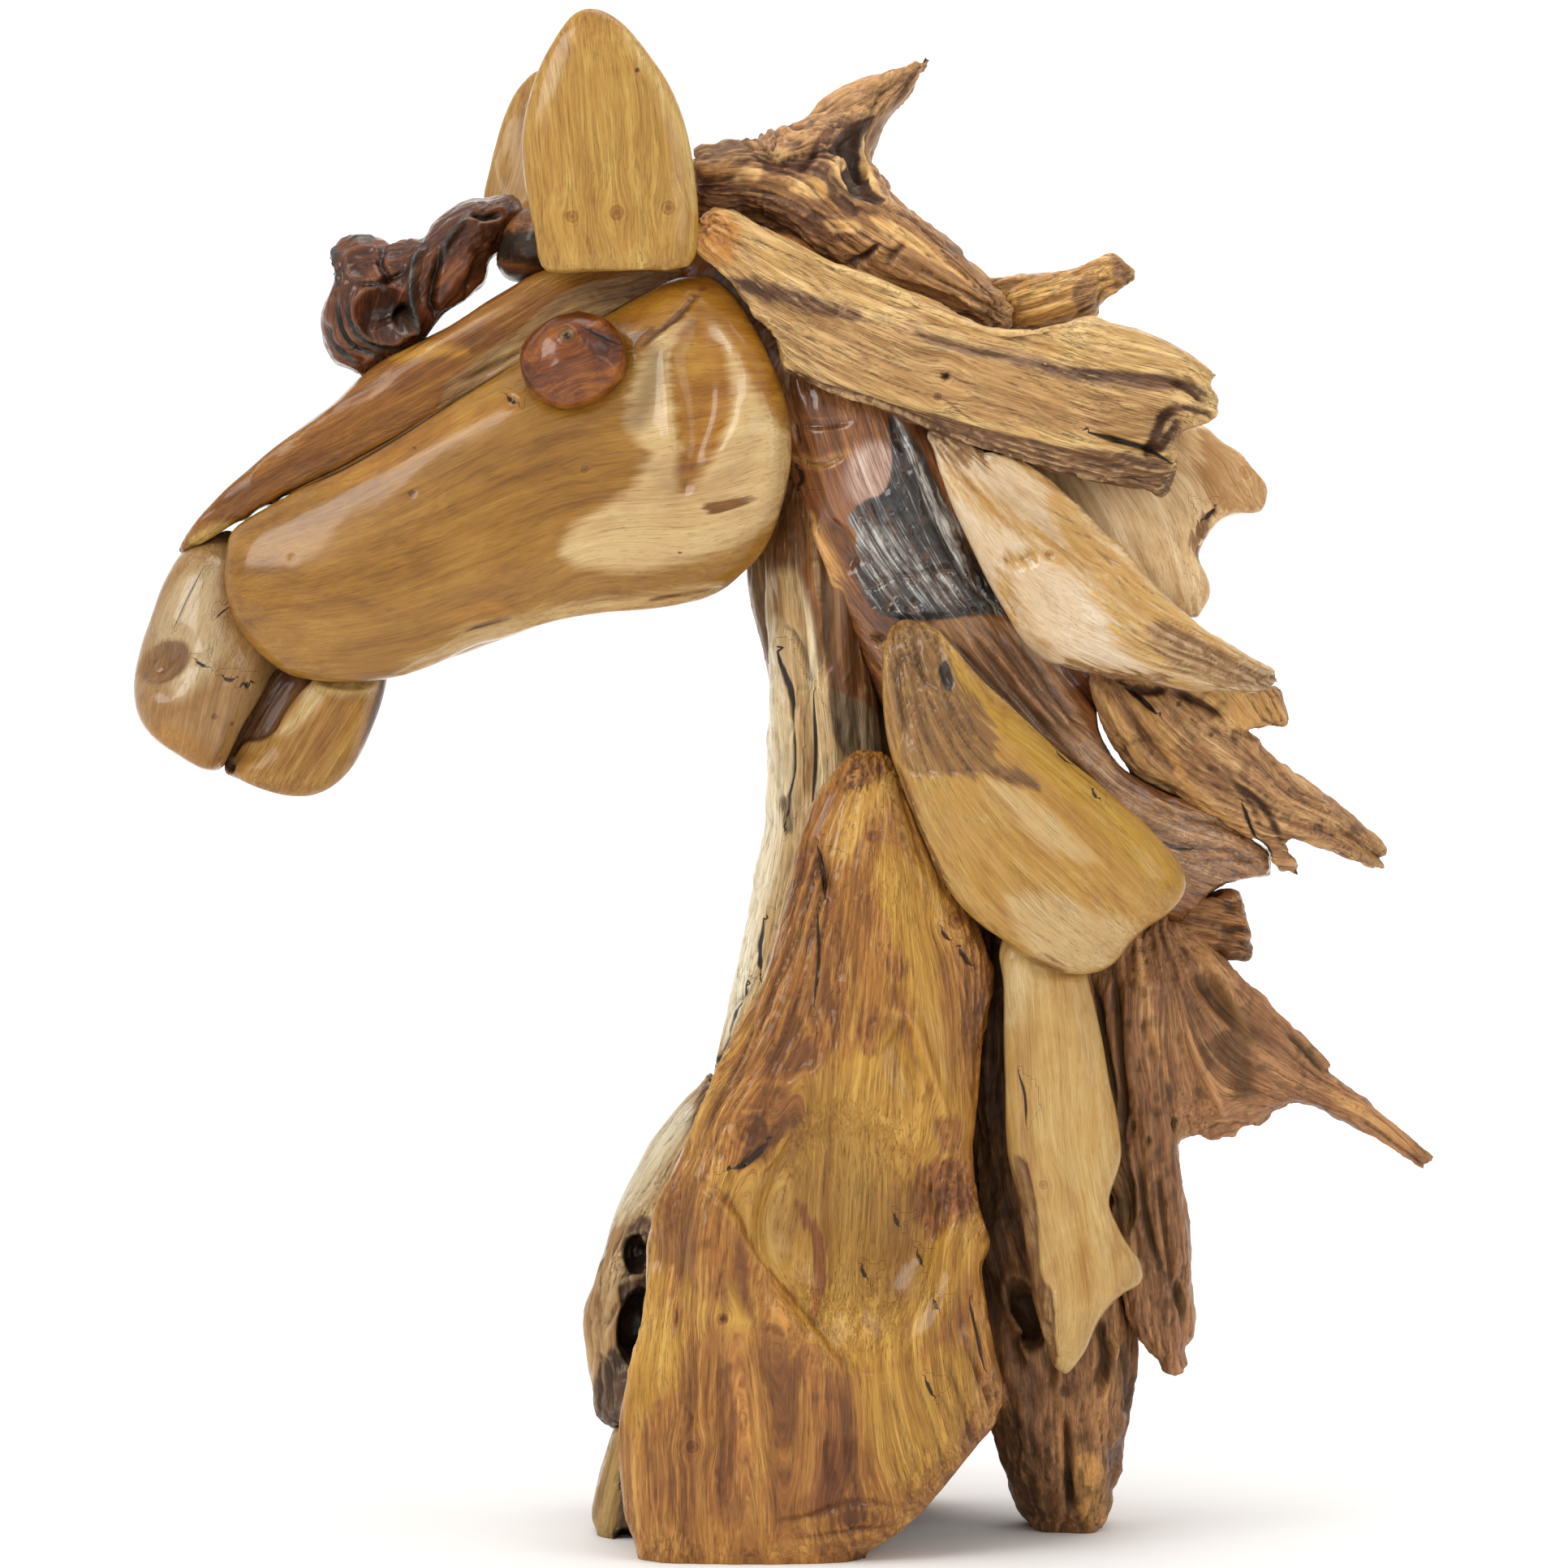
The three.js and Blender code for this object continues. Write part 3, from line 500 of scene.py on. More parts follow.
def seen_at(co):
    """Where points are seen in the view."""
    scale = 1 + co[:, 1] / VIEW_DISTANCE
    x = co[:, 0] / scale + VIEW_CENTRE[0]
    z = (co[:, 2] - VIEW_HEIGHT) / scale + VIEW_CENTRE[1]
    return np.stack([x / SEEN, (VIEW_TOP - z) / SEEN], axis=1)


def follow(path, rows, at):
    """Run along a guide and offset from it, with the distance to it and its half width there."""
    d, signed, run, _ = nearest(path[:, :2], at)
    stops = np.concatenate([[0], np.cumsum(np.hypot(*np.diff(path[:, :2], axis=0).T))])
    half = np.interp(run, stops, path[:, 2])
    return run, signed * (rows[:, 2].max() / half) ** 0.8, d, half


class Skin:
    """The points of a piece: where they are seen, how far they will move, and what is stored on them."""

    def __init__(self, co, normal, guides):
        self.co = co
        self.normal = normal
        self.seen = seen_at(co)
        self.facing = smooth_step(FACING_STARTS, FACING_FULL, -normal[:, 1])
        self.height = np.zeros(len(co))
        # painted shade: how deep each point lies in a carved hollow, which darkens its colour
        self.hollow_shade = np.zeros(len(co))
        self.split = np.full(len(co), FAR_OFF)
        self.ring = np.full(len(co), FAR_OFF)
        self.marks = {name: np.full(len(co), UNMARKED) for name in MARKS}
        self.lay_grain(guides)

    def lay_grain(self, guides):
        """Grain coordinates in millimetres: along and across the guide lines."""
        total, along, across = 0, 0, 0
        first = None
        for guide in guides:
            rows = np.array([p if len(p) == 3 else (*p, 60) for p in guide], float)
            path = curve(rows, steps=8)
            start = path[len(path) // 3][None, :2]
            run, side, d, half = follow(path, rows, self.seen)
            if first is None:
                first = (path, rows)
            else:
                base = follow(*first, start)
                own = follow(path, rows, start)
                run, side = run + base[0] - own[0], side + base[1] - own[1]
            weight = 1 / (0.1 + d / half) ** 4
            total = total + weight
            along = along + weight * run
            across = across + weight * side
        self.along = along / total * SEEN_MM
        self.across = across / total * SEEN_MM

    def mark(self, name, rows, distance, crisp=1.0):
        self.marks[name][rows] = np.maximum(self.marks[name][rows], distance * crisp)

    def grain(self, length, width, depth=1):
        """Grain coordinates in units of the given lengths along and across the grain and in depth."""
        return np.stack([self.along / length, self.across / width, self.co[:, 1] / MM / depth], axis=1)


def share_of(skin, where, soft):
    """How much a tool does at each point: all of it, or only inside a mark, or with a - only outside it."""
    if where is None:
        return 1
    distance = skin.marks[where.lstrip("-")]
    return smooth_step(-soft, soft, -distance if where.startswith("-") else distance)


def flutes(height, width, length, seed, where=None):
    """Grooves along the grain with rounded ridges between them."""
    def work(skin):
        wander = fractal(skin.co / (60 * MM), seed + 5, 2) * width * 1.3
        at = skin.grain(length, width, width * 1.6)
        at[:, 1] += wander / width
        fine = fractal(at, seed, 3)
        valley = np.exp(-(np.abs(fine) * 5.0) ** 1.2)
        share = share_of(skin, where, 6)
        skin.height -= height * valley * share
        skin.hollow_shade += valley * share * min(height / 3.0, 1.0)
    return work


def waves(height, size, seed):
    """Soft undulation of the whole surface."""
    def work(skin):
        skin.height += height * fractal(skin.co / (size * MM), seed, 2)
    return work


def terraces(height, length, width, seed, where=None):
    """Broken layers of wood, one lower than the next."""
    def work(skin):
        at = skin.grain(length, width, width * 1.5)
        at[:, 1] += fractal(skin.co / (45 * MM), seed + 3, 2) * 0.8
        level = fractal(at, seed, 2) * 5
        base = np.floor(level)
        ledge = smooth_step(0.30, 0.70, level - base)
        share = share_of(skin, where, 6)
        skin.height += height * (base + ledge) / 2 * share
        skin.hollow_shade += 0.15 * np.exp(-((level - base - 0.30) / 0.12) ** 2) * share
    return work


def crumble(height, size, seed, where=None):
    """Rough broken surface."""
    def work(skin):
        rough = fractal(skin.co / (size * MM), seed, 3)
        share = share_of(skin, where, 3)
        skin.height += height * rough * share
        skin.hollow_shade += smooth_step(0.1, 0.6, -rough) * share * min(height / 2.0, 1.0)
    return work


# Meshes

def link(obj):
    bpy.context.scene.collection.objects.link(obj)
    return obj


def mesh_of(bm, name):
    mesh = bpy.data.meshes.new(name)
    bm.to_mesh(mesh)
    bm.free()
    return mesh


def remeshed(mesh, voxel, outline=None, blades=None):
    """A closed, even copy of a mesh, after it is trimmed to an outline and blades are cut away."""
    obj = link(bpy.data.objects.new("work", mesh))
    tools = []
    for shapes, operation in ((outline, "INTERSECT"), (blades, "DIFFERENCE")):
        if not shapes:
            continue
        tool = link(bpy.data.objects.new("tool", prisms(shapes)))
        boolean = obj.modifiers.new("trim", "BOOLEAN")
        boolean.operation = operation
        boolean.solver = "MANIFOLD"
        boolean.object = tool
        tools.append(tool)
    modifier = obj.modifiers.new("even", "REMESH")
    modifier.mode = "VOXEL"
    modifier.voxel_size = voxel
    graph = bpy.context.evaluated_depsgraph_get()
    out = bpy.data.meshes.new_from_object(obj.evaluated_get(graph))
    for used in [obj, *tools]:
        bpy.data.objects.remove(used)
    return out


def points_of(mesh):
    co = np.empty(len(mesh.vertices) * 3, np.float32)
    mesh.vertices.foreach_get("co", co)
    return co.reshape(-1, 3).astype(float)


def normals_of(mesh):
    out = np.empty(len(mesh.vertices) * 3, np.float32)
    mesh.vertex_normals.foreach_get("vector", out)
    return out.reshape(-1, 3).astype(float)


class Neighbours:
    """The points that the edges of a mesh join, and sums and means over them."""

    def __init__(self, mesh):
        edges = np.empty(len(mesh.edges) * 2, np.int32)
        mesh.edges.foreach_get("vertices", edges)
        self.i, self.j = edges.reshape(-1, 2).T
        self.points = len(mesh.vertices)
        self.count = np.maximum(np.bincount(edges, minlength=self.points), 1)

    def total(self, from_i, from_j):
        """For each point, the sum of what its edges bring from their other ends."""
        return np.bincount(self.i, from_j, self.points) + np.bincount(self.j, from_i, self.points)

    def mean(self, values):
        return self.total(values[self.i], values[self.j]) / self.count

    def middle(self, co):
        return np.stack([self.mean(axis) for axis in co.T], axis=1)


def relax(mesh, rounds, keep=True, rows=slice(None)):
    """Smooths a mesh, or only some of its points. With keep, it holds its size."""
    co = points_of(mesh)
    near = Neighbours(mesh)
    for turn in range(rounds * (2 if keep else 1)):
        share = -0.53 if keep and turn % 2 else 0.5
        co[rows] += (share * (near.middle(co) - co))[rows]
    put(mesh, co)


def bulge(mesh):
    """How far each point stands out from its neighbours: positive on ridges and edges."""
    co = points_of(mesh)
    near = Neighbours(mesh)
    run = np.linalg.norm(co[near.i] - co[near.j], axis=1)
    reach = near.total(run, run) / near.count
    value = ((co - near.middle(co)) * normals_of(mesh)).sum(axis=1) / reach ** 2 * 10 * MM
    for _ in range(2):
        value = value / 2 + near.mean(value) / 2
    return value


def put(mesh, co):
    mesh.vertices.foreach_set("co", co.astype(np.float32).ravel())
    mesh.update()


def fill(mesh, at, half):
    """Smooths a hollow away where it is seen inside an ellipse."""
    off = (seen_at(points_of(mesh)) - np.array(at)) / np.array(half)
    relax(mesh, 90, False, np.flatnonzero((np.hypot(*off.T) < 1) & (normals_of(mesh)[:, 1] < 0.2)))


def refine(mesh, covers):
    """Splits the faces that look towards the camera into four, except where other pieces cover them."""
    centre = np.empty(len(mesh.polygons) * 3, np.float32)
    mesh.polygons.foreach_get("center", centre)
    at = seen_at(centre.reshape(-1, 3).astype(float))
    hidden = np.zeros(len(at), bool)
    for cover in covers:
        hidden |= inside(np.array(cover, float), at) > COVER_MARGIN
    bm = bmesh.new()
    bm.from_mesh(mesh)
    chosen = {
        edge for face, away in zip(bm.faces, hidden) if face.normal.y < -FACING_SPLIT and not away
        for edge in face.edges}
    bmesh.ops.subdivide_edges(bm, edges=sorted(chosen, key=lambda e: e.index), cuts=1, use_grid_fill=True)
    bm.to_mesh(mesh)
    bm.free()
    mesh.update()


def world(seen, y):
    """The point at depth y that is seen at a place in the view."""
    scale = 1 + y / VIEW_DISTANCE
    x = (seen[0] * SEEN - VIEW_CENTRE[0]) * scale
    z = VIEW_HEIGHT + (VIEW_TOP - seen[1] * SEEN - VIEW_CENTRE[1]) * scale
    return Vector((x, y, z))


def prisms(outlines):
    """Prisms along the line of sight, one for each outline."""
    bm = bmesh.new()
    for outline in outlines:
        front = [bm.verts.new(world(p, -PRISM_REACH)) for p in outline]
        back = [bm.verts.new(world(p, PRISM_REACH)) for p in outline]
        bm.faces.new(front)
        bm.faces.new(back[::-1])
        for i in range(len(outline)):
            k = (i + 1) % len(outline)
            bm.faces.new([front[k], front[i], back[i], back[k]])
    bmesh.ops.recalc_face_normals(bm, faces=bm.faces)
    return mesh_of(bm, "prisms")


def spikes_of(base, spikes):
    """Adds tapering limbs to a mesh: each is a list of (x, y in the view, depth, radius)."""
    bm = bmesh.new()
    bm.from_mesh(base)
    for spike in spikes:
        rings = []
        for x, y, depth, radius in spike:
            c = world((x, y), depth * MM)
            rings.append([bm.verts.new(c + Vector((
                radius * MM * math.cos(a), radius * MM * math.sin(a) * 0.8,
                0.4 * radius * MM * math.sin(a))))
                for a in np.arange(8) * math.tau / 8])
        for a, b in zip(rings[:-1], rings[1:]):
            for i in range(8):
                bm.faces.new([a[i], a[(i + 1) % 8], b[(i + 1) % 8], b[i]])
        bm.faces.new(rings[0][::-1])
        bm.faces.new(rings[-1])
    bmesh.ops.recalc_face_normals(bm, faces=bm.faces)
    return mesh_of(bm, "spiked")


# Node materials

BARK = ((62, 40, 26), (112, 78, 50), (160, 122, 84))
CHAR = ((26, 24, 26), (58, 56, 58), (104, 100, 100))
PALE = ((196, 158, 104), (222, 190, 142), (236, 212, 172))
GOLD = ((168, 112, 46), (200, 146, 70), (222, 178, 104))
TONE_STOPS = (0.24, 0.5, 0.76)

# Repeats per millimetre along the grain, across it and in depth
SWAY_GRAIN = (0.0045, 0.022, 0.02)
BAND_GRAIN = (0.006, 0.08, 0.05)
LINE_GRAIN = (0.009, 0.42, 0.25)
THIN_GRAIN = (0.012, 0.75, 0.5)
FIBRE_GRAIN = (0.05, 1.25, 0.9)
PORE_GRAIN = (0.10, 1.3, 1.0)
FINGER_GRAIN = (0.016, 0.26, 0.2)
CLOUD_GRAIN = (0.02, 0.03, 0.03)
SWAY = 24.0
RING_REPEATS = 11.0


def to_linear(rgb):
    return [((c / 255 + 0.055) / 1.055) ** 2.4 if c > 10 else c / 255 / 12.92 for c in rgb] + [1.0]


class Web:
    """Short calls for building a node tree."""

    def __init__(self, name):
        self.material = bpy.data.materials.new(name)
        self.material.use_nodes = True
        self.tree = self.material.node_tree
        self.tree.nodes.clear()

    def node(self, kind, inputs=None, **settings):
        node = self.tree.nodes.new(kind)
        for key, value in settings.items():
            setattr(node, key, value)
        for key, value in (inputs or {}).items():
            self.feed(node.inputs[key], value)
        return node

    def feed(self, socket, value):
        if isinstance(value, bpy.types.NodeSocket):
            self.tree.links.new(value, socket)
        else:
            socket.default_value = value

    def math(self, operation, a, b=0.0, clamp=False):
        node = self.node("ShaderNodeMath", {0: a, 1: b}, operation=operation, use_clamp=clamp)
        return node.outputs[0]

    def plus(self, a, b):
        return self.math("ADD", a, b)

    def minus(self, a, b, clamp=False):
        return self.math("SUBTRACT", a, b, clamp)

    def times(self, a, b):
        return self.math("MULTIPLY", a, b)

    def size(self, a):
        return self.math("ABSOLUTE", a)

    def centred(self, value, width):
        """A value round 0.5 turned into one round 0, of the given width."""
        return self.times(self.minus(value, 0.5), width)

    def add(self, vector, other):
        return self.node("ShaderNodeVectorMath", {0: vector, 1: other}, operation="ADD").outputs[0]

    def noise(self, vector, repeats, detail=3.0, roughness=0.6, distortion=0.0):
        stretched = self.node("ShaderNodeVectorMath", {0: vector, 1: repeats},
                              operation="MULTIPLY").outputs[0]
        return self.node("ShaderNodeTexNoise", {
            "Vector": stretched, "Scale": 1.0, "Detail": detail, "Roughness": roughness,
            "Distortion": distortion}).outputs["Fac"]

    def ramp(self, value, colours):
        node = self.node("ShaderNodeValToRGB", {"Fac": value})
        elements = node.color_ramp.elements
        while len(elements) < len(colours):
            elements.new(0.5)
        for element, at, colour in zip(elements, TONE_STOPS, colours):
            element.position = at
            element.color = colour
        return node.outputs["Color"]

    def span(self, value, low, high):
        """From 0 at low to 1 at high, with soft ends."""
        node = self.node("ShaderNodeMapRange", {"Value": value, "From Min": low, "From Max": high},
                         interpolation_type="SMOOTHSTEP")
        return node.outputs["Result"]

    def mix(self, share, a, b, blend="MIX"):
        node = self.node("ShaderNodeMix", data_type="RGBA", blend_type=blend)
        self.feed(node.inputs["Factor"], share)
        self.feed(node.inputs[6], a)
        self.feed(node.inputs[7], b)
        return node.outputs[2]

    def stored(self, name):
        """The colour and the fourth value that the carving stored on the mesh."""
        node = self.node("ShaderNodeAttribute", attribute_name=name, attribute_type="GEOMETRY")
        return node.outputs["Color"], node.outputs["Alpha"]

    def apart(self, colour):
        return self.node("ShaderNodeSeparateColor", {"Color": colour}).outputs

    def surface(self, inputs):
        shader = self.node("ShaderNodeBsdfPrincipled", inputs)
        self.node("ShaderNodeOutputMaterial", {"Surface": shader.outputs[0]})


def grain_of(web, seed):
    """The noises of one wood, all but the clouds along its swaying grain."""
    stored = web.node("ShaderNodeAttribute", attribute_name="grain", attribute_type="GEOMETRY")
    place = web.add(stored.outputs["Vector"], (seed, seed * 2.0, seed * 3.0))
    sway = web.centred(web.noise(place, SWAY_GRAIN, 2.0, 0.55), SWAY)
    warped = web.add(place, web.node("ShaderNodeCombineXYZ", {"Y": sway}).outputs[0])
    return SimpleNamespace(
        band=web.noise(warped, BAND_GRAIN, 3.0, 0.6, 0.4),
        line=web.noise(warped, LINE_GRAIN, 4.0, 0.65, 0.25),
        thin=web.noise(warped, THIN_GRAIN, 5.0, 0.7, 0.2),
        fibre=web.noise(warped, FIBRE_GRAIN),
        pore=web.noise(warped, PORE_GRAIN, 1.0, 0.5),
        finger=web.noise(warped, FINGER_GRAIN, 4.0, 0.62, 0.3),
        cloud=web.noise(place, CLOUD_GRAIN, 3.0, 0.6, 0.8),
    )


def tone_of(web, grain, ring, lines, bands):
    """How light the wood is, from 0 to 1, with rings and a dark heart in each knot."""
    tone = web.plus(web.centred(grain.band, bands), 0.5)
    for part, weight in ((grain.line, 0.6 * lines), (grain.fibre, 0.5), (grain.cloud, 0.6)):
        tone = web.plus(tone, web.centred(part, weight))
    rings = web.math("SINE", web.times(web.plus(ring, web.times(grain.line, 0.5)), RING_REPEATS))
    tone = web.plus(tone, web.times(web.times(rings, 0.07), web.span(ring, 1.9, 0.7)))
    return web.minus(tone, web.times(web.span(ring, 1.3, 0.2), 0.22), clamp=True)


def height_of(web, grain, rough_share, cracks, lines, relief):
    """The fine relief in millimetres."""
    height = web.plus(web.times(grain.line, 0.5 * lines), web.times(grain.fibre, 0.16))
    height = web.times(height, web.plus(web.times(rough_share, 1.6), 0.45 * relief))
    for share, depth in cracks:
        height = web.minus(height, web.times(share, depth))
    return height


def wood(name, tones, bark=BARK, pale=PALE, char=CHAR, gold=GOLD, lines=1.0, bands=1.0, gloss=0.4, coat=0.3,
         relief=1.0, fray=0.5, soft=1.0, seed=0.0, gain=(1.0, 1.0, 1.0), order=("pale", "gold", "bark")):
    """Lacquered wood: growth lines, bands and pores along the grain, and four kinds of marked parts.

    Colours are dark, middle and light, as they are seen, and gain corrects them for the light.
    Fray and soft widen the edges of the marked parts, which are laid over each other in order.
    """
    web = Web(name)
    grain = grain_of(web, seed)
    marks, gold_inside = web.stored("marks")
    bark_inside, pale_inside, char_inside = web.apart(marks)
    traits, bulge_out = web.stored("lines")
    split, ring, hollow_shade = web.apart(traits)
    tone = tone_of(web, grain, ring, lines, bands)

    def linear(rgb):
        return [g * c for g, c in zip((*gain, 1.0), to_linear(rgb))]

    def coloured(three):
        return web.ramp(tone, [linear(rgb) for rgb in three])

    def share(distance, fingers, softness):
        frayed = web.plus(distance, web.centred(grain.finger, fingers * fray))
        return web.span(frayed, -softness * soft, softness * soft)

    bark_share = share(bark_inside, 22.0, 1.8)
    char_share = share(char_inside, 10.0, 1.2)
    layers = {
        "pale": (share(pale_inside, 26.0, 5.0), pale),
        "gold": (share(gold_inside, 26.0, 4.5), gold),
        "bark": (bark_share, bark),
    }
    darkest = linear(bark[0])
    colour = coloured(tones)
    for layer in order:
        layer_share, layer_tones = layers[layer]
        colour = web.mix(layer_share, colour, coloured(layer_tones))
    # lighter on ridges and edges: partly worn wood, partly a painted highlight
    worn_and_lit_ridges = web.times(web.span(bulge_out, 0.15, 1.1), 0.30 * min(relief, 1.2))
    colour = web.mix(worn_and_lit_ridges, colour, linear(tones[2]))
    colour = web.mix(char_share, colour, coloured(char))

    dark_lines = web.times(web.span(grain.thin, 0.56, 0.70), 0.55 * lines)
    colour = web.mix(dark_lines, colour, linear(tones[0]), "MULTIPLY" if relief > 1.3 else "MIX")
    pores = web.times(web.span(grain.pore, 0.64, 0.74), 0.45)
    colour = web.mix(pores, colour, linear(tones[0]))
    # painted shade: darker in creases, where the surface bends inwards
    colour = web.mix(web.times(web.span(bulge_out, -0.15, -1.2), 0.5), colour, darkest)
    # painted shade: darker in the carved hollows, grooves, ledges and dents
    colour = web.mix(web.times(web.span(hollow_shade, 0.25, 1.15), 0.6), colour, darkest)
    groove = web.times(web.span(web.size(web.minus(grain.line, 0.5)), 0.028, 0.0),
                       web.span(grain.cloud, 0.42, 0.60))
    groove = web.times(groove, max(0.0, min(relief - 0.6, 0.8)))
    colour = web.mix(web.times(groove, 0.7), colour, darkest)
    # painted shade: near black inside the splits and along the seams
    split_shade = web.span(web.plus(web.size(split), web.centred(grain.line, 0.8)), 1.0, 0.4)
    colour = web.mix(split_shade, colour, [0.3 * c for c in darkest[:3]] + [1.0])

    rough_share = web.math("MAXIMUM", bark_share, web.times(char_share, 0.6))
    cracks = ((dark_lines, 0.35 * relief), (split_shade, 0.8), (groove, 0.5), (pores, 0.12))
    height = height_of(web, grain, rough_share, cracks, lines, relief)
    bump = web.node("ShaderNodeBump", {"Height": height, "Strength": 0.8, "Distance": 1.0 * MM})
    rough = web.plus(web.centred(grain.band, 0.12), gloss)
    rough = web.plus(rough, web.times(rough_share, 0.12))
    rough = web.minus(rough, web.times(char_share, 0.16))
    web.surface({"Base Color": colour, "Roughness": rough, "Normal": bump.outputs["Normal"],
                 "Coat Weight": coat, "Coat Roughness": 0.13, "Specular IOR Level": 0.2})
    return web.material


# One piece

def store(mesh, name, kind, values):
    data = mesh.attributes.new(name, kind, "POINT")
    key = "vector" if kind == "FLOAT_VECTOR" else "color"
    data.data.foreach_set(key, np.ascontiguousarray(values, dtype=np.float32).ravel())


def soft_body(name, soften, swell, widen, filled, spikes):
    """The node's mesh with even faces, softened and grown by swell, and by widen more as it is seen."""
    source = NODES[name].data.copy()
    if spikes:
        source = spikes_of(source, spikes)
    mesh = remeshed(source, COARSE_VOXEL)
    relax(mesh, soften, keep=False)
    for at, half in filled:
        fill(mesh, at, half)
    growth = np.array([swell + widen, swell, swell + widen]) * MM
    put(mesh, points_of(mesh) + normals_of(mesh) * growth)
    return mesh


def carve(mesh, guides, work, foot_height):
    """Moves the points as the tools say, and stores what the material reads."""
    co = points_of(mesh)
    skin = Skin(co, normals_of(mesh), guides)
    for tool in work:
        tool(skin)
    moved = np.clip(co + skin.normal * skin.height[:, None] * MM, np.array(cad_low), np.array(cad_high))
    moved[co[:, 2] < foot_height, 2] = 0.0
    put(mesh, moved)
    store(mesh, "grain", "FLOAT_VECTOR", skin.grain(1, 1))
    store(mesh, "marks", "FLOAT_COLOR", np.stack([skin.marks[m] for m in MARKS], axis=1))
    # lines: splits, knot rings, the painted shade of the hollows, and the bulge, which paints shade in
    # creases and light on ridges
    store(mesh, "lines", "FLOAT_COLOR", np.stack(
        [skin.split, skin.ring, np.clip(skin.hollow_shade, 0, 2), bulge(mesh)], axis=1))


def make(name, guides, work, look, soften=14, fine=True, swell=0.8, widen=0.0, outline=None,
         blades=None,
         spikes=(), edge=2, voxel=FINE_VOXEL, filled=(), covers=()):
    """Turns a CAD node into a carved piece with grain, and puts it in the node's place."""
    mesh = soft_body(name, soften, swell, widen, filled, spikes)
    if fine:
        mesh = remeshed(mesh, voxel, [grown(curve(outline, True, 2))] if outline else None, blades)
        relax(mesh, edge, keep=False)
        refine(mesh, covers)
        relax(mesh, 1)
    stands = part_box(name)[0].z < FLAT_FOOT
    carve(mesh, guides, work, FLAT_FOOT + swell * MM if stands else -1.0)
    mesh.shade_smooth()
    mesh.materials.clear()
    mesh.materials.append(look)
    piece = link(bpy.data.objects.new(name + "_wood", mesh))
    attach(piece, "root")
    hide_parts(name)


def far_partner(name, guides, tones, seed, wave, flute, gain, relief=1.0):
    """A plainer board on the far side, which the photo doesn't show."""
    look = wood(name + "_wood", tones, relief=relief, seed=seed, gain=gain)
    make(name, guides, [waves(*wave), flutes(*flute)], look, fine=False)


# Head

def ears():
    """The near ear, with filler plugs along its lower end, and the far one behind it."""
    tones = ((148, 98, 44), (194, 148, 80), (218, 180, 112))
    look = wood("ear_wood", tones, bands=0.55, coat=0.55, fray=0.2, seed=3.0, gain=(0.785, 0.765, 0.52))
    make("ear_near", [[(722, 10), (756, 335)]], [
        waves(0.8, 60, 2),
        knot((705, 267), 9, 0.4), knot((760, 262), 11, 0.4), knot((823, 256), 10, 0.6),
        dent((785, 86), (3, 3), 1.0, mark="bark"),
        streak("pale", [(770, 40), (815, 110), (845, 180), (855, 260)], 9),
    ], look, soften=8, outline=EAR_OUTLINE, widen=6, edge=3)
    make("ear_far", [[(660, 80), (620, 250)]], [
        waves(1.5, 50, 5), dent((640, 190), (30, 60), 4),
    ], wood("ear_far_wood", tones, gloss=0.38, seed=5.0, gain=(0.7, 0.68, 0.6)), soften=8,
        outline=FAR_EAR_OUTLINE, covers=[EAR_OUTLINE], widen=4)


def poll():
    """The dark block between the ears and the forelock."""
    bark_top = [(612, 292), (668, 284), (700, 300), (690, 330), (640, 322), (614, 318)]
    make("poll_block", [[(615, 300), (700, 285)]], [
        patch("bark", bark_top),
        crumble(1.0, 14, 4, "bark"),
        cut([(622, 288), (640, 268), (656, 250)], 6, -1.5),
    ], wood("poll_wood", ((60, 34, 18), (112, 70, 38), (150, 100, 56)),
            bark=((28, 20, 14), (52, 38, 26), (80, 60, 42)), seed=7.0), voxel=3.6 * MM, soften=6)


def forelock():
    """The gnarled dark root over the forehead, with a round hollow in it."""
    guide = [[(640, 250, 40), (560, 300, 60), (505, 370, 60), (470, 440, 40)],
             [(500, 300, 30), (430, 310, 50), (405, 380, 50), (420, 430, 40), (490, 440, 30)]]
    look = wood("forelock_wood", ((44, 26, 20), (84, 50, 34), (138, 90, 60)),
                bark=((24, 18, 15), (52, 34, 26), (84, 56, 42)),
                char=((18, 18, 20), (50, 52, 56), (108, 110, 114)),
                gold=((60, 34, 24), (98, 60, 42), (150, 104, 76)),
                lines=0.8, bands=0.8, gloss=0.34, coat=0.5, fray=0.2, seed=11.0, gain=(1.08, 0.86, 0.6))
    make("forelock", guide, [
        waves(2.5, 30, 6),
        flutes(1.1, 8, 60, 9),
        dent((450, 325), (24, 20), 3, rim=1.5),
        dent((472, 388), (38, 36), 15, -30, rim=2.5),
        dent((497, 392), (15, 20), 16, mark="bark"),
        cut([(522, 298), (509, 335), (508, 380), (514, 418)], 10, -10, "char"),
        cut([(546, 300), (536, 340), (534, 375), (548, 402)], 11, 7),
        cut([(578, 262), (560, 285), (546, 310), (545, 330)], 8, -4, "char"),
        cut([(575, 258), (600, 265), (625, 262)], 9, 5, "bark"),
        cut([(600, 300), (588, 335), (572, 368)], 14, 4),
        cut([(480, 300), (468, 318), (476, 345), (460, 360)], 10, 5),
        cut([(432, 345), (460, 350), (490, 338), (510, 325)], 9, 4),
        cut([(425, 365), (432, 400), (455, 425), (500, 430)], 8, 4, "char"),
        cut([(412, 360), (418, 405), (440, 432), (480, 442)], 8, 4, "char"),
        cut([(400, 395), (408, 430), (440, 452)], 8, 4, "char"),
        cut([(415, 300), (408, 330), (416, 352)], 12, -3, "char"),
        cut([(430, 295), (465, 292)], 8, -2, "char"),
        crumble(1.0, 9, 3),
    ], look, soften=9, outline=FORELOCK_OUTLINE, voxel=2.4 * MM, widen=3, edge=1)


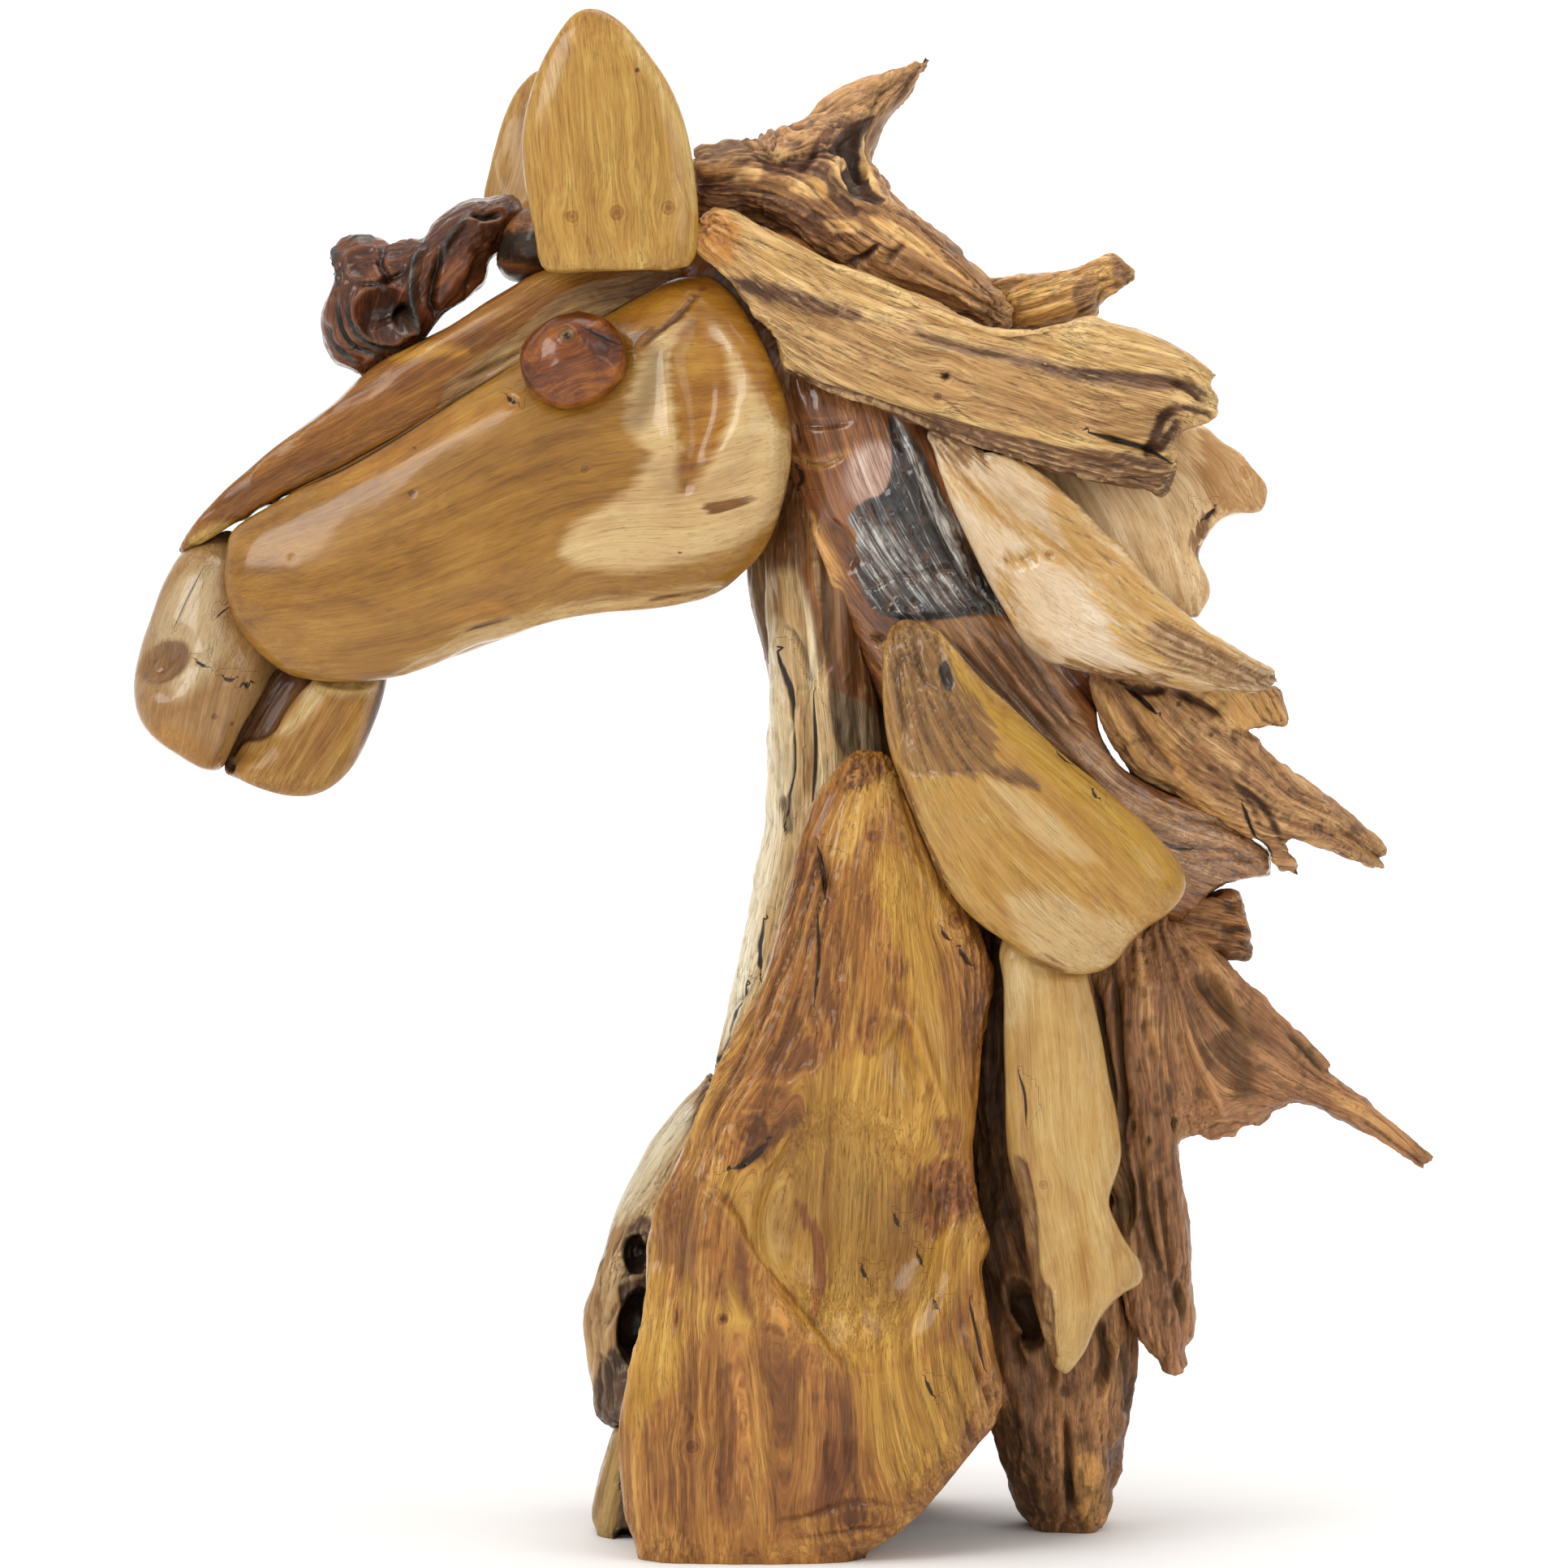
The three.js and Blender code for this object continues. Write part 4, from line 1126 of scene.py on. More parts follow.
def plank():
    """The long board from the ear to the nose, with a band of bark under its upper edge."""
    guide = [[(215, 690), (330, 593), (490, 509), (642, 421), (726, 377), (850, 350)]]
    seam = [(222, 684), (283, 652), (350, 611), (417, 577), (485, 540), (560, 492)]
    bark_band = [(866, 326), (800, 334), (730, 348), (680, 370), (640, 402), (600, 436), (544, 484),
                 (560, 520), (680, 490), (760, 440), (860, 390)]
    look = wood("plank_wood", ((104, 58, 26), (152, 96, 46), (188, 134, 76)),
                bark=((110, 74, 60), (174, 132, 112), (216, 182, 160)), bands=0.9, gloss=0.38, coat=0.4,
                seed=13.0, gain=(0.77, 0.75, 0.38))
    make("forehead_plank", guide, [
        waves(1.5, 70, 3),
        # painted shade along the seam with the cheek
        crack(seam, 1.4, 1),
        patch("bark", bark_band, 0.8),
        patch("pale", [(236, 668), (262, 650), (290, 648), (262, 672)]),
        flutes(1.4, 6, 90, 21, "bark"),
        cut([(560, 478), (610, 450), (660, 425)], 8, 3),
        streak("gold", [(480, 440), (530, 432), (580, 436)], 14),
        flutes(0.5, 9, 120, 23, "-bark"),
    ], look, voxel=3.4 * MM, soften=7, outline=PLANK_OUTLINE, covers=[CHEEK_OUTLINE], widen=9)


def muzzle():
    """The pale nose with its nostril."""
    guide = [[(200, 960), (240, 800), (300, 660)]]
    # painted highlight: a broad satin sheen on the left of the nose
    nose_sheen = [(215, 720), (255, 690), (275, 700), (270, 760), (280, 800), (240, 850), (215, 860),
                 (190, 780)]
    look = wood("muzzle_wood", ((152, 106, 62), (198, 154, 102), (226, 194, 150)),
                # these pale tones are the painted satin highlight on the left of the nose
                pale=((196, 164, 126), (224, 198, 162), (238, 218, 190)),
                bark=((112, 74, 42), (164, 118, 70), (196, 150, 98)),
                lines=0.7, bands=0.6, gloss=0.38, coat=0.6, fray=0.2, seed=17.0, gain=(0.57, 0.53, 0.42))
    make("muzzle", guide, [
        waves(0.9, 60, 4),
        dent((203, 816), (35, 24), 3.5, -36, mark="bark", rim=0.3),
        cut([(185, 832), (205, 818), (226, 798)], 5, 1.2),
        cut([(178, 822), (196, 806), (216, 790)], 5, 1.2),
        cut([(192, 842), (212, 830), (230, 812)], 5, 1.0),
        crack([(241, 814), (248, 819), (256, 823)], 2.6, 1.2),
        crack([(275, 835), (283, 838), (291, 836)], 3.2, 1.2),
        crack([(250, 700), (232, 735), (214, 775)], 1.2, 0.4),
        crack([(266, 762), (274, 754), (282, 748)], 1.5, 0.5),
        crack([(302, 846), (306, 845), (309, 844)], 5, 1), dent((264, 883), (4, 4), 1, mark="bark"),
        dent((287, 892), (3, 3), 1, mark="bark"),
        patch("pale", nose_sheen),
        patch("gold", [(180, 900), (220, 930), (262, 945), (250, 915), (200, 890)]),
    ], look, soften=9, outline=MUZZLE_OUTLINE, covers=[CHEEK_OUTLINE], filled=[((203, 816), (46, 46))],
        widen=4, edge=4)


def chin():
    """The lower jaw, with bark along the mouth."""
    bark_mouth = [(325, 790), (382, 800), (386, 832), (366, 855), (350, 878), (338, 900), (318, 912),
                  (300, 916), (286, 934), (270, 956), (262, 930), (300, 880)]
    pale_edge = [(384, 838), (400, 846), (392, 868), (360, 900), (344, 902), (366, 868)]
    look = wood("chin_wood", ((136, 86, 38), (180, 130, 72), (208, 164, 106)),
                bark=((58, 34, 24), (104, 66, 44), (146, 102, 72)),
                gloss=0.42, coat=0.25, fray=0.15, seed=19.0, gain=(0.69, 0.675, 0.5))
    make("chin", [[(440, 800), (335, 968)]], [
        waves(1.0, 50, 8),
        patch("bark", bark_mouth, 3.0),
        patch("pale", pale_edge, 0.8),
        cut([(380, 834), (400, 848), (440, 852), (470, 840)], 9, -2.0, "pale"),
        streak("gold", [(432, 860), (440, 900), (415, 930)], 22),
        flutes(0.7, 4, 90, 31, "bark"),
        streak("bark", [(476, 828), (466, 866), (454, 906), (448, 926)], 9),
        streak("pale", [(385, 845), (420, 848), (462, 846)], 10),
        dent((330, 925), (60, 24), 1.5, 12),
        dent((280, 944), (10, 12), 5, mark="bark"),
    ], look, soften=8, outline=CHIN_OUTLINE, covers=[CHEEK_OUTLINE, MUZZLE_OUTLINE], voxel=2.6 * MM,
        widen=4, edge=3)


def cheeks():
    """The near cheek with its long hollow, and its plain partner."""
    guide = [[(285, 745, 80), (480, 700, 110), (700, 610, 130), (860, 590, 150), (975, 560, 120)]]
    # painted highlight: the pinkish sheen round the hollow at the back of the cheek
    cheek_sheen = [(700, 690), (700, 655), (765, 610), (800, 560), (770, 510), (815, 400), (880, 395),
                  (930, 460), (972, 540), (962, 625), (925, 660), (850, 690), (780, 705)]
    gold_back = [(762, 392), (840, 345), (905, 360), (945, 440), (965, 520), (940, 500), (880, 395),
                 (820, 395), (778, 430)]
    gold_brow = [(392, 603), (440, 596), (500, 568), (545, 545), (600, 520), (640, 512), (640, 480),
                 (560, 512), (470, 552)]
    hollow = [(862, 384), (882, 404), (895, 440), (900, 480), (895, 522), (881, 560), (860, 590),
              (846, 606), (835, 592), (838, 555), (834, 515), (828, 478), (826, 440), (838, 402)]
    hollow_floor = [(905, 430), (930, 470), (950, 525), (925, 530), (905, 500), (892, 520), (893, 470)]
    pale_jaw = [(487, 833), (512, 815), (540, 800), (575, 775), (600, 769), (640, 760), (700, 745),
                (760, 737), (800, 733), (886, 722), (880, 735), (845, 745), (800, 753), (720, 760),
                (660, 773), (600, 794), (540, 818)]
    seam = [(288, 652), (350, 611), (417, 579), (485, 541), (560, 493), (640, 444), (720, 402), (800, 357),
            (862, 334)]
    look = wood("cheek_wood", ((132, 88, 38), (176, 128, 62), (204, 158, 92)),
                # these pale tones are the painted pinkish highlight, and also colour the pale strip along
                # the jaw
                pale=((208, 170, 146), (234, 204, 184), (250, 230, 214)),
                gold=((148, 92, 30), (190, 134, 58), (214, 168, 90)),
                bark=((84, 52, 28), (138, 92, 50), (178, 128, 78)),
                char=((112, 68, 42), (146, 96, 62), (172, 122, 82)),
                lines=0.75, bands=0.6, gloss=0.36, coat=0.55, relief=0.6, fray=0.6, seed=23.0,
                gain=(0.64, 0.575, 0.31))
    make("cheek_near", guide, [
        waves(1.0, 90, 12),
        patch("pale", cheek_sheen),
        patch("gold", gold_back),
        patch("gold", gold_brow),
        patch("gold", hollow, 5.0, 13.0),
        # painted highlight along the ridge left of the hollow
        cut([(832, 400), (820, 440), (824, 500), (830, 560), (832, 600)], 18, -2.5, "pale"),
        cut([(812, 400), (806, 450), (792, 500), (760, 548)], 50, 5),
        cut([(800, 398), (796, 450), (786, 510), (770, 560)], 34, -1.6),
        cut([(880, 392), (912, 440), (922, 500), (900, 550), (862, 600)], 44, -4.5),
        patch(None, hollow_floor, 1.6, 8.0),
        cut([(780, 560), (820, 590), (850, 620)], 40, 3),
        dent((830, 620), (110, 46), 3, -24),
        dent((700, 600), (120, 46), 2.5, -14),
        dent((945, 590), (20, 70), -3, 8),
        cut([(776, 438), (800, 416), (830, 394), (868, 354)], 7, 3, "bark"),
        streak("bark", [(778, 430), (790, 412), (806, 402)], 10),
        streak("gold", [(782, 414), (815, 388), (850, 362)], 9),
        patch("pale", pale_jaw, 1.4),
        streak("char", [(800, 741), (850, 733), (878, 728)], 5),
        cut([(575, 778), (600, 770), (628, 762)], 4, 1.5, "bark"),
        streak("gold", [(560, 757), (600, 748), (628, 752)], 12),
        patch("bark", [(866, 622), (890, 613), (930, 611), (905, 626), (880, 634)], 0.5),
        # painted shade along the seam with the plank
        crack(seam, 1.3, 1),
        knot((720, 578), 6), knot((360, 687), 6, 0.3), dent((507, 608), (5, 4), 1.5, mark="bark"),
        dent((510, 551), (3, 2), 1.0, mark="bark"), dent((838, 682), (3, 2), 1.0, mark="bark"),
        crack([(624, 488), (630, 492), (636, 497)], 3),
    ], look, soften=16, filled=[((870, 475), (60, 125))], outline=CHEEK_OUTLINE, widen=5, edge=4,
        voxel=3.8 * MM)
    far_partner("cheek_far", [[(285, 745, 80), (700, 610, 130), (975, 560, 120)]],
                ((132, 88, 38), (176, 128, 62), (204, 158, 92)), seed=29.0, wave=(2.0, 80, 13),
                flute=(0.6, 12, 150, 3), gain=(0.77, 0.76, 0.66))


def eyes():
    """A burl for each eye, with a small pale ring where the branch was."""
    guide = [[(640, 470), (700, 430), (775, 420)]]
    dark_corner = [(712, 402), (742, 410), (752, 428), (742, 446), (728, 432), (716, 418)]
    look = wood("eye_wood", ((74, 38, 20), (122, 74, 40), (166, 116, 70)),
                bark=((40, 20, 12), (70, 38, 22), (110, 66, 40)),
                pale=((110, 96, 80), (150, 134, 112), (176, 160, 138)),
                char=((62, 32, 20), (92, 52, 34), (124, 76, 50)),
                lines=0.9, bands=1.5, gloss=0.3, coat=0.55, relief=0.6, fray=0.25, seed=31.0,
                gain=(0.8, 0.54, 0.16))
    for name, fine in (("eye_near", True), ("eye_far", False)):
        make(name, guide, [
            waves(1.6, 22, 14),
            knot((698, 412), 12, 0.4), dent((712, 468), (44, 26), 1.2, -20, rim=0.6),
            dent((742, 432), (24, 36), 1.5, 10, rim=0.5),
            dent((698, 412), (8, 8), 1.5, mark="pale", rim=1.5), dent((698, 412), (4, 4), 0.5, mark="bark"),
            patch("char", dark_corner),
            dent((655, 446), (10, 26), 1.5, 10),
            crack([(720, 405), (745, 415), (765, 425)], 2.0, 0.6),
        ], look, soften=8, fine=fine, swell=0.4)


def jaw():
    """The thin bar under the cheek."""
    guide = [[(480, 835), (600, 790), (720, 755), (880, 732)]]
    make("jaw_bar", guide, [
        flutes(1.2, 5, 120, 33),
        streak("bark", [(480, 836), (492, 830)], 18),
    ], wood("jaw_wood", ((140, 100, 58), (190, 150, 98), (218, 184, 132)), gloss=0.42, seed=37.0,
            gain=(0.8, 0.8, 0.7)), voxel=4.0 * MM, soften=5, covers=[CHEEK_OUTLINE, CHIN_OUTLINE])


# Crest and mane

def horn():
    """The broken crest over the ears, with a charred pit and a horn that points up."""
    guide = [[(850, 215, 50), (960, 210, 70), (1060, 270, 80), (1150, 330, 60), (1250, 395, 20)],
             [(960, 190, 40), (1040, 140, 40), (1100, 105, 25), (1149, 68, 8)]]
    bark_root = [(858, 225), (905, 232), (950, 240), (1000, 262), (1060, 280), (1030, 300), (960, 285),
                 (900, 258), (858, 252)]
    bark_top = [(930, 185), (990, 195), (1010, 165), (1050, 140), (1080, 150), (1060, 175), (1020, 215),
                (1060, 258), (1040, 262), (1000, 215), (950, 215)]
    charred_pit = [(1022, 180), (1045, 155), (1082, 142), (1072, 170), (1062, 200), (1072, 232),
                   (1092, 246), (1075, 248), (1050, 235), (1050, 195), (1035, 188)]
    gold_back = [(1075, 262), (1130, 290), (1180, 325), (1200, 350), (1150, 320), (1090, 285)]
    look = wood("horn_wood", ((92, 63, 43), (146, 109, 74), (192, 152, 106)),
                bark=((60, 40, 32), (108, 76, 58), (152, 116, 88)),
                gold=((172, 130, 80), (208, 170, 116), (230, 200, 152)),
                char=((34, 28, 26), (66, 52, 46), (100, 82, 70)),
                lines=0.9, gloss=0.42, coat=0.15, relief=1.15, fray=0.25, soft=0.4,
                order=("pale", "bark", "gold"), seed=41.0, gain=(1.46, 1.42, 1.3))
    make("crest_horn", guide, [
        waves(2.2, 35, 15),
        patch("bark", bark_root, 0.6),
        patch("bark", bark_top, 1.0),
        patch("char", charred_pit, 3.0),
        patch("gold", [(903, 222), (920, 203), (938, 202), (935, 222), (915, 228)], 0.5),
        patch("gold", [(945, 190), (960, 181), (972, 184), (962, 198)], 0.5),
        patch("gold", [(972, 232), (1000, 218), (1018, 225), (1015, 245), (985, 240)], 0.4),
        patch("gold", [(1025, 192), (1048, 190), (1052, 215), (1045, 228), (1030, 210)], 0.4),
        patch("gold", [(1015, 275), (1050, 272), (1060, 285), (1030, 290)], 0.4),
        patch("gold", gold_back),
        terraces(2.4, 60, 12, 143),
        flutes(2.2, 9, 80, 43), flutes(1.0, 4, 50, 46),
        dent((1058, 196), (20, 46), 8, 8),
        cut([(1072, 165), (1066, 195), (1072, 225), (1088, 242)], 11, -6, "gold"),
        cut([(1010, 170), (995, 200), (980, 212)], 9, 4),
        cut([(1085, 300), (1060, 320), (1040, 322)], 8, 4, "bark"),
        cut([(1120, 296), (1100, 315), (1090, 335)], 8, 3),
        crumble(1.6, 10, 44, "bark"), crumble(0.8, 8, 45),
    ], look, soften=7, outline=HORN_OUTLINE, covers=[CREST_OUTLINE], voxel=2.7 * MM, widen=3, edge=1)


def spur():
    """The short stump that sticks out behind the crest."""
    guide = [[(1180, 395, 30), (1290, 365, 40), (1395, 330, 24)]]
    make("crest_spur", guide, [
        waves(2.0, 25, 16), flutes(2.2, 6, 60, 47),
        patch("bark", [(1320, 350), (1350, 345), (1345, 385), (1330, 385)]),
        patch("bark", [(1370, 315), (1392, 330), (1385, 350), (1372, 340)]),
        cut([(1385, 350), (1365, 355), (1352, 375)], 8, 3),
        crumble(1.4, 9, 48),
    ], wood("spur_wood", ((98, 64, 38), (162, 120, 66), (208, 168, 104)), relief=1.8, lines=1.3, gloss=0.42,
            seed=43.0, gain=(1.36, 1.3, 1.18)), soften=6, outline=SPUR_OUTLINE, widen=3, edge=1)


def crest_slabs():
    """The fluted slab of the crest with a screw hole, and its plain partner."""
    gold_tip = [(850, 262), (885, 250), (908, 272), (905, 315), (885, 325), (858, 305)]
    bark_top = [(905, 342), (1000, 362), (1060, 385), (1040, 395), (960, 372), (905, 355)]
    bark_seam = [(1130, 408), (1200, 425), (1280, 445), (1360, 453), (1446, 460), (1470, 478), (1430, 480),
                 (1350, 472), (1250, 450), (1150, 425)]
    bark_underside = [(965, 455), (1020, 474), (1090, 498), (1180, 520), (1300, 550), (1380, 556),
                      (1455, 580), (1446, 615), (1300, 590), (1150, 545), (1020, 500), (960, 470)]
    straw_face = [(900, 350), (1000, 372), (1100, 402), (1250, 452), (1440, 482), (1444, 540), (1250, 522),
                  (1100, 484), (980, 440)]
    upper_ledge = [(905, 338), (1000, 360), (1100, 392), (1200, 420), (1300, 448), (1440, 460)]
    look = wood("crest_wood", ((144, 102, 58), (200, 160, 102), (232, 198, 142)),
                bark=((70, 46, 32), (118, 82, 56), (160, 122, 86)),
                gold=((120, 84, 48), (170, 128, 80), (204, 164, 112)),
                pale=((138, 84, 34), (190, 130, 58), (216, 164, 92)), lines=1.2, bands=0.8, gloss=0.42,
                coat=0.2, relief=1.4, seed=47.0, gain=(1.04, 1.04, 1.0))
    guide = [[(862, 285, 40), (960, 355, 75), (1100, 425, 92), (1300, 490, 100), (1440, 525, 90),
              (1500, 540, 60)]]
    make("crest_slab_near", guide, [
        waves(1.5, 70, 17),
        patch("pale", gold_tip),
        cut([(862, 292), (876, 270), (896, 278), (902, 300)], 5, 1.5),
        cut([(864, 304), (872, 286), (888, 288), (894, 310)], 4, 1.2),
        patch("bark", bark_top, 0.5),
        patch("bark", bark_seam, 1.5),
        patch("bark", bark_underside, 1.0),
        patch("gold", straw_face),
        step(upper_ledge, 4.0, 8, 70),
        step([(1440, 590), (1300, 552), (1180, 520), (1080, 492), (970, 455)], 3.0, 8, 40),
        terraces(2.0, 130, 22, 151),
        flutes(1.8, 9, 160, 51),
        flutes(1.6, 5, 90, 53, "bark"),
        dent((1165, 463), (6, 5), 5, mark="bark", rim=0.8), knot((1165, 463), 9, 0.2), knot((1155, 489), 6),
        patch("gold", [(1096, 400), (1130, 396), (1138, 425), (1112, 436), (1092, 420)]),
        patch("gold", [(1248, 448), (1288, 446), (1298, 476), (1280, 490), (1262, 470)]),
        crack([(1340, 532), (1375, 543), (1410, 553), (1446, 572)], 5, 6),
        cut([(1420, 560), (1440, 540), (1452, 518)], 12, 6, "bark"),
        cut([(1418, 548), (1438, 520), (1450, 505)], 10, -3),
        cut([(1452, 500), (1475, 505), (1495, 512)], 8, 4, "bark"),
        cut([(1408, 566), (1424, 540), (1436, 512), (1462, 500)], 14, 7, "bark"),
        cut([(1424, 570), (1440, 548), (1450, 520)], 8, -4),
        cut([(1440, 470), (1465, 478), (1485, 500)], 9, 4, "bark"),
        cut([(1455, 460), (1480, 480), (1496, 495)], 8, 3),
        crumble(1.2, 9, 55, "bark"),
    ], look, soften=8, blades=[
        [(1482, 470), (1520, 464), (1520, 481), (1488, 475)],
        [(1482, 519), (1530, 500), (1530, 640), (1440, 625), (1452, 577), (1446, 548), (1452, 528)],
    ], outline=CREST_OUTLINE, widen=9, voxel=2.9 * MM)
    far_partner("crest_slab_far", guide, ((140, 98, 54), (190, 148, 92), (220, 184, 128)),
                seed=53.0, wave=(2.5, 60, 18), flute=(1.8, 9, 150, 57), gain=(0.85, 0.83, 0.8), relief=1.4)


def blades_of_mane():
    """The pale blade under the crest with ragged gold edges, and its plain partner."""
    bark_root = [(1148, 532), (1205, 540), (1216, 575), (1200, 560), (1190, 575), (1175, 572), (1160, 560)]
    upper_streak = [(1160, 570), (1195, 605), (1240, 640), (1290, 668), (1330, 700), (1345, 720)]
    edge_streak = [(1205, 545), (1260, 568), (1310, 605), (1360, 655), (1420, 710), (1480, 760)]
    gold_tip = [(1296, 596), (1380, 672), (1480, 755), (1575, 830), (1560, 850), (1450, 840), (1392, 800),
                (1360, 750), (1335, 700), (1300, 650)]
    bark_tip = [(1430, 760), (1500, 800), (1575, 832), (1572, 850), (1480, 838), (1420, 800)]
    look = wood("blade_wood", ((186, 138, 84), (226, 192, 148), (240, 216, 182)),
                bark=((124, 84, 46), (178, 130, 76), (214, 172, 110)),
                gold=((172, 118, 52), (208, 158, 86), (228, 188, 122)), lines=0.6, bands=0.55, gloss=0.36,
                coat=0.6, relief=0.9, fray=1.4, seed=59.0, gain=(0.84, 0.88, 0.95))
    guide = [[(1140, 520, 20), (1200, 600, 60), (1290, 690, 95), (1400, 770, 80), (1500, 815, 50),
              (1580, 850, 20)]]
    make("mane_blade_near", guide, [
        waves(1.2, 60, 19),
        patch("bark", bark_root),
        streak("gold", upper_streak, 20),
        streak("gold", edge_streak, 20),
        streak("gold", [(1235, 690), (1255, 690), (1275, 680)], 22),
        patch("gold", gold_tip),
        patch("bark", bark_tip),
        streak("gold", [(1226, 700), (1240, 730), (1250, 768)], 12),
        streak("bark", [(1310, 815), (1370, 832), (1440, 835)], 14),
        step([(1150, 560), (1200, 606), (1260, 650), (1310, 680), (1370, 730)], 4.0, 8, 60),
        step([(1480, 770), (1400, 705), (1340, 645), (1290, 600), (1210, 560)], 4.0, 8, 50),
        dent((1255, 610), (60, 26), 2.0, 38), dent((1290, 745), (60, 42), 3, 30),
        terraces(1.8, 90, 14, 161, "gold"),
        flutes(2.4, 6, 90, 61, "bark"), flutes(1.6, 6, 110, 63, "gold"),
        crumble(1.3, 9, 65, "bark"),
        knot((1293, 683), 7, 1.0),
    ], look, soften=9, outline=BLADE_OUTLINE, widen=4, voxel=2.6 * MM)
    far_partner("mane_blade_far", guide, ((186, 138, 84), (220, 184, 138), (236, 208, 170)),
                seed=61.0, wave=(2.0, 50, 20), flute=(0.9, 10, 120, 67), gain=(0.9, 0.92, 0.9))


def flap():
    """The pale flap that hangs from the end of the crest."""
    guide = [[(1390, 560, 60), (1440, 640, 70), (1470, 760, 40)],
             [(1480, 530, 40), (1530, 570, 40), (1560, 620, 30)]]
    bark_corner = [(1474, 650), (1490, 630), (1500, 632), (1488, 655), (1482, 690), (1474, 690)]
    gold_edge = [(1484, 520), (1530, 548), (1572, 596), (1566, 630), (1510, 640), (1484, 600)]
    make("mane_flap", guide, [
        waves(1.5, 45, 22),
        patch("bark", bark_corner, 1.0),
        crack([(1484, 642), (1492, 634), (1498, 626)], 4),
        dent((1430, 640), (60, 90), 4, 10),
        dent((1520, 590), (40, 34), -1.5),
        patch("gold", gold_edge),
        knot((1534, 582), 10, 0.5),
        flutes(0.7, 8, 90, 69),
    ], wood("flap_wood", ((178, 138, 92), (220, 186, 140), (238, 210, 170)),
            gold=((140, 94, 50), (176, 130, 80), (200, 158, 110)), fray=1.2,
            bark=((84, 54, 34), (130, 90, 56), (176, 132, 86)),
            gloss=0.38, coat=0.35, seed=67.0, gain=(1.1, 1.1, 1.05)), soften=8, outline=FLAP_OUTLINE,
            covers=[BLADE_OUTLINE, CREST_OUTLINE], widen=14, edge=3)


def claw():
    """The forked root behind the blade, which ends in a point."""
    guide = [[(1370, 830, 60), (1440, 920, 95), (1550, 1000, 60), (1640, 1030, 30), (1705, 1065, 12)]]
    look = wood("claw_wood", ((92, 60, 40), (154, 112, 72), (202, 162, 112)),
                bark=((58, 38, 26), (104, 72, 48), (150, 110, 76)),
                gold=((150, 102, 54), (190, 144, 84), (220, 180, 120)), lines=0.9, bands=0.9, gloss=0.44,
                coat=0.12, relief=1.15, seed=71.0, gain=(1.25, 1.26, 1.26))
    make("mane_claw", guide, [
        waves(2.0, 40, 24),
        patch("gold", [(1470, 845), (1560, 850), (1590, 890), (1540, 895), (1500, 890)]),
        terraces(2.0, 90, 16, 171),
        flutes(1.8, 8, 110, 71),
        streak("gold", [(1390, 850), (1430, 900), (1470, 980), (1540, 1030)], 14),
        cut([(1358, 850), (1385, 900), (1410, 945), (1450, 970)], 12, -3, "gold"),
        cut([(1440, 850), (1480, 868), (1510, 890)], 12, 7, "bark"),
        cut([(1380, 838), (1410, 850), (1440, 850)], 12, 6, "bark"),
        crack([(1385, 845), (1405, 860), (1425, 880)], 5, 5),
        dent((1390, 900), (24, 50), 2.5, -28),
        cut([(1520, 960), (1560, 1000), (1580, 1040)], 8, 4, "bark"),
        cut([(1500, 940), (1540, 990), (1556, 1030)], 8, 3),
        crack([(1530, 990), (1540, 1020), (1548, 1040)], 3, 2),
        dent((1452, 868), (3, 3), 0.9, mark="bark"),
        dent((1492, 905), (3, 3), 0.9, mark="bark"),
        crumble(1.2, 9, 73),
    ], look, soften=7, outline=CLAW_OUTLINE, covers=[BLADE_OUTLINE], voxel=2.7 * MM, widen=7, edge=1)


def stub():
    """The stump between the claw and the fan."""
    make("mane_stub", [[(1420, 1130), (1545, 1150)]], [
        waves(1.5, 30, 26), flutes(2.2, 6, 80, 75),
        patch("bark", [(1500, 1160), (1545, 1165), (1540, 1190), (1500, 1185)], 2.0),
        cut([(1500, 1150), (1525, 1146), (1545, 1148)], 8, 4, "bark"),
        crumble(1.5, 8, 77),
    ], wood("stub_wood", ((82, 54, 34), (138, 96, 56), (176, 132, 84)), relief=1.8, lines=1.3, gloss=0.44,
            seed=73.0, gain=(1.2, 1.1, 1.0)), soften=5, outline=STUB_OUTLINE, widen=3, edge=1)


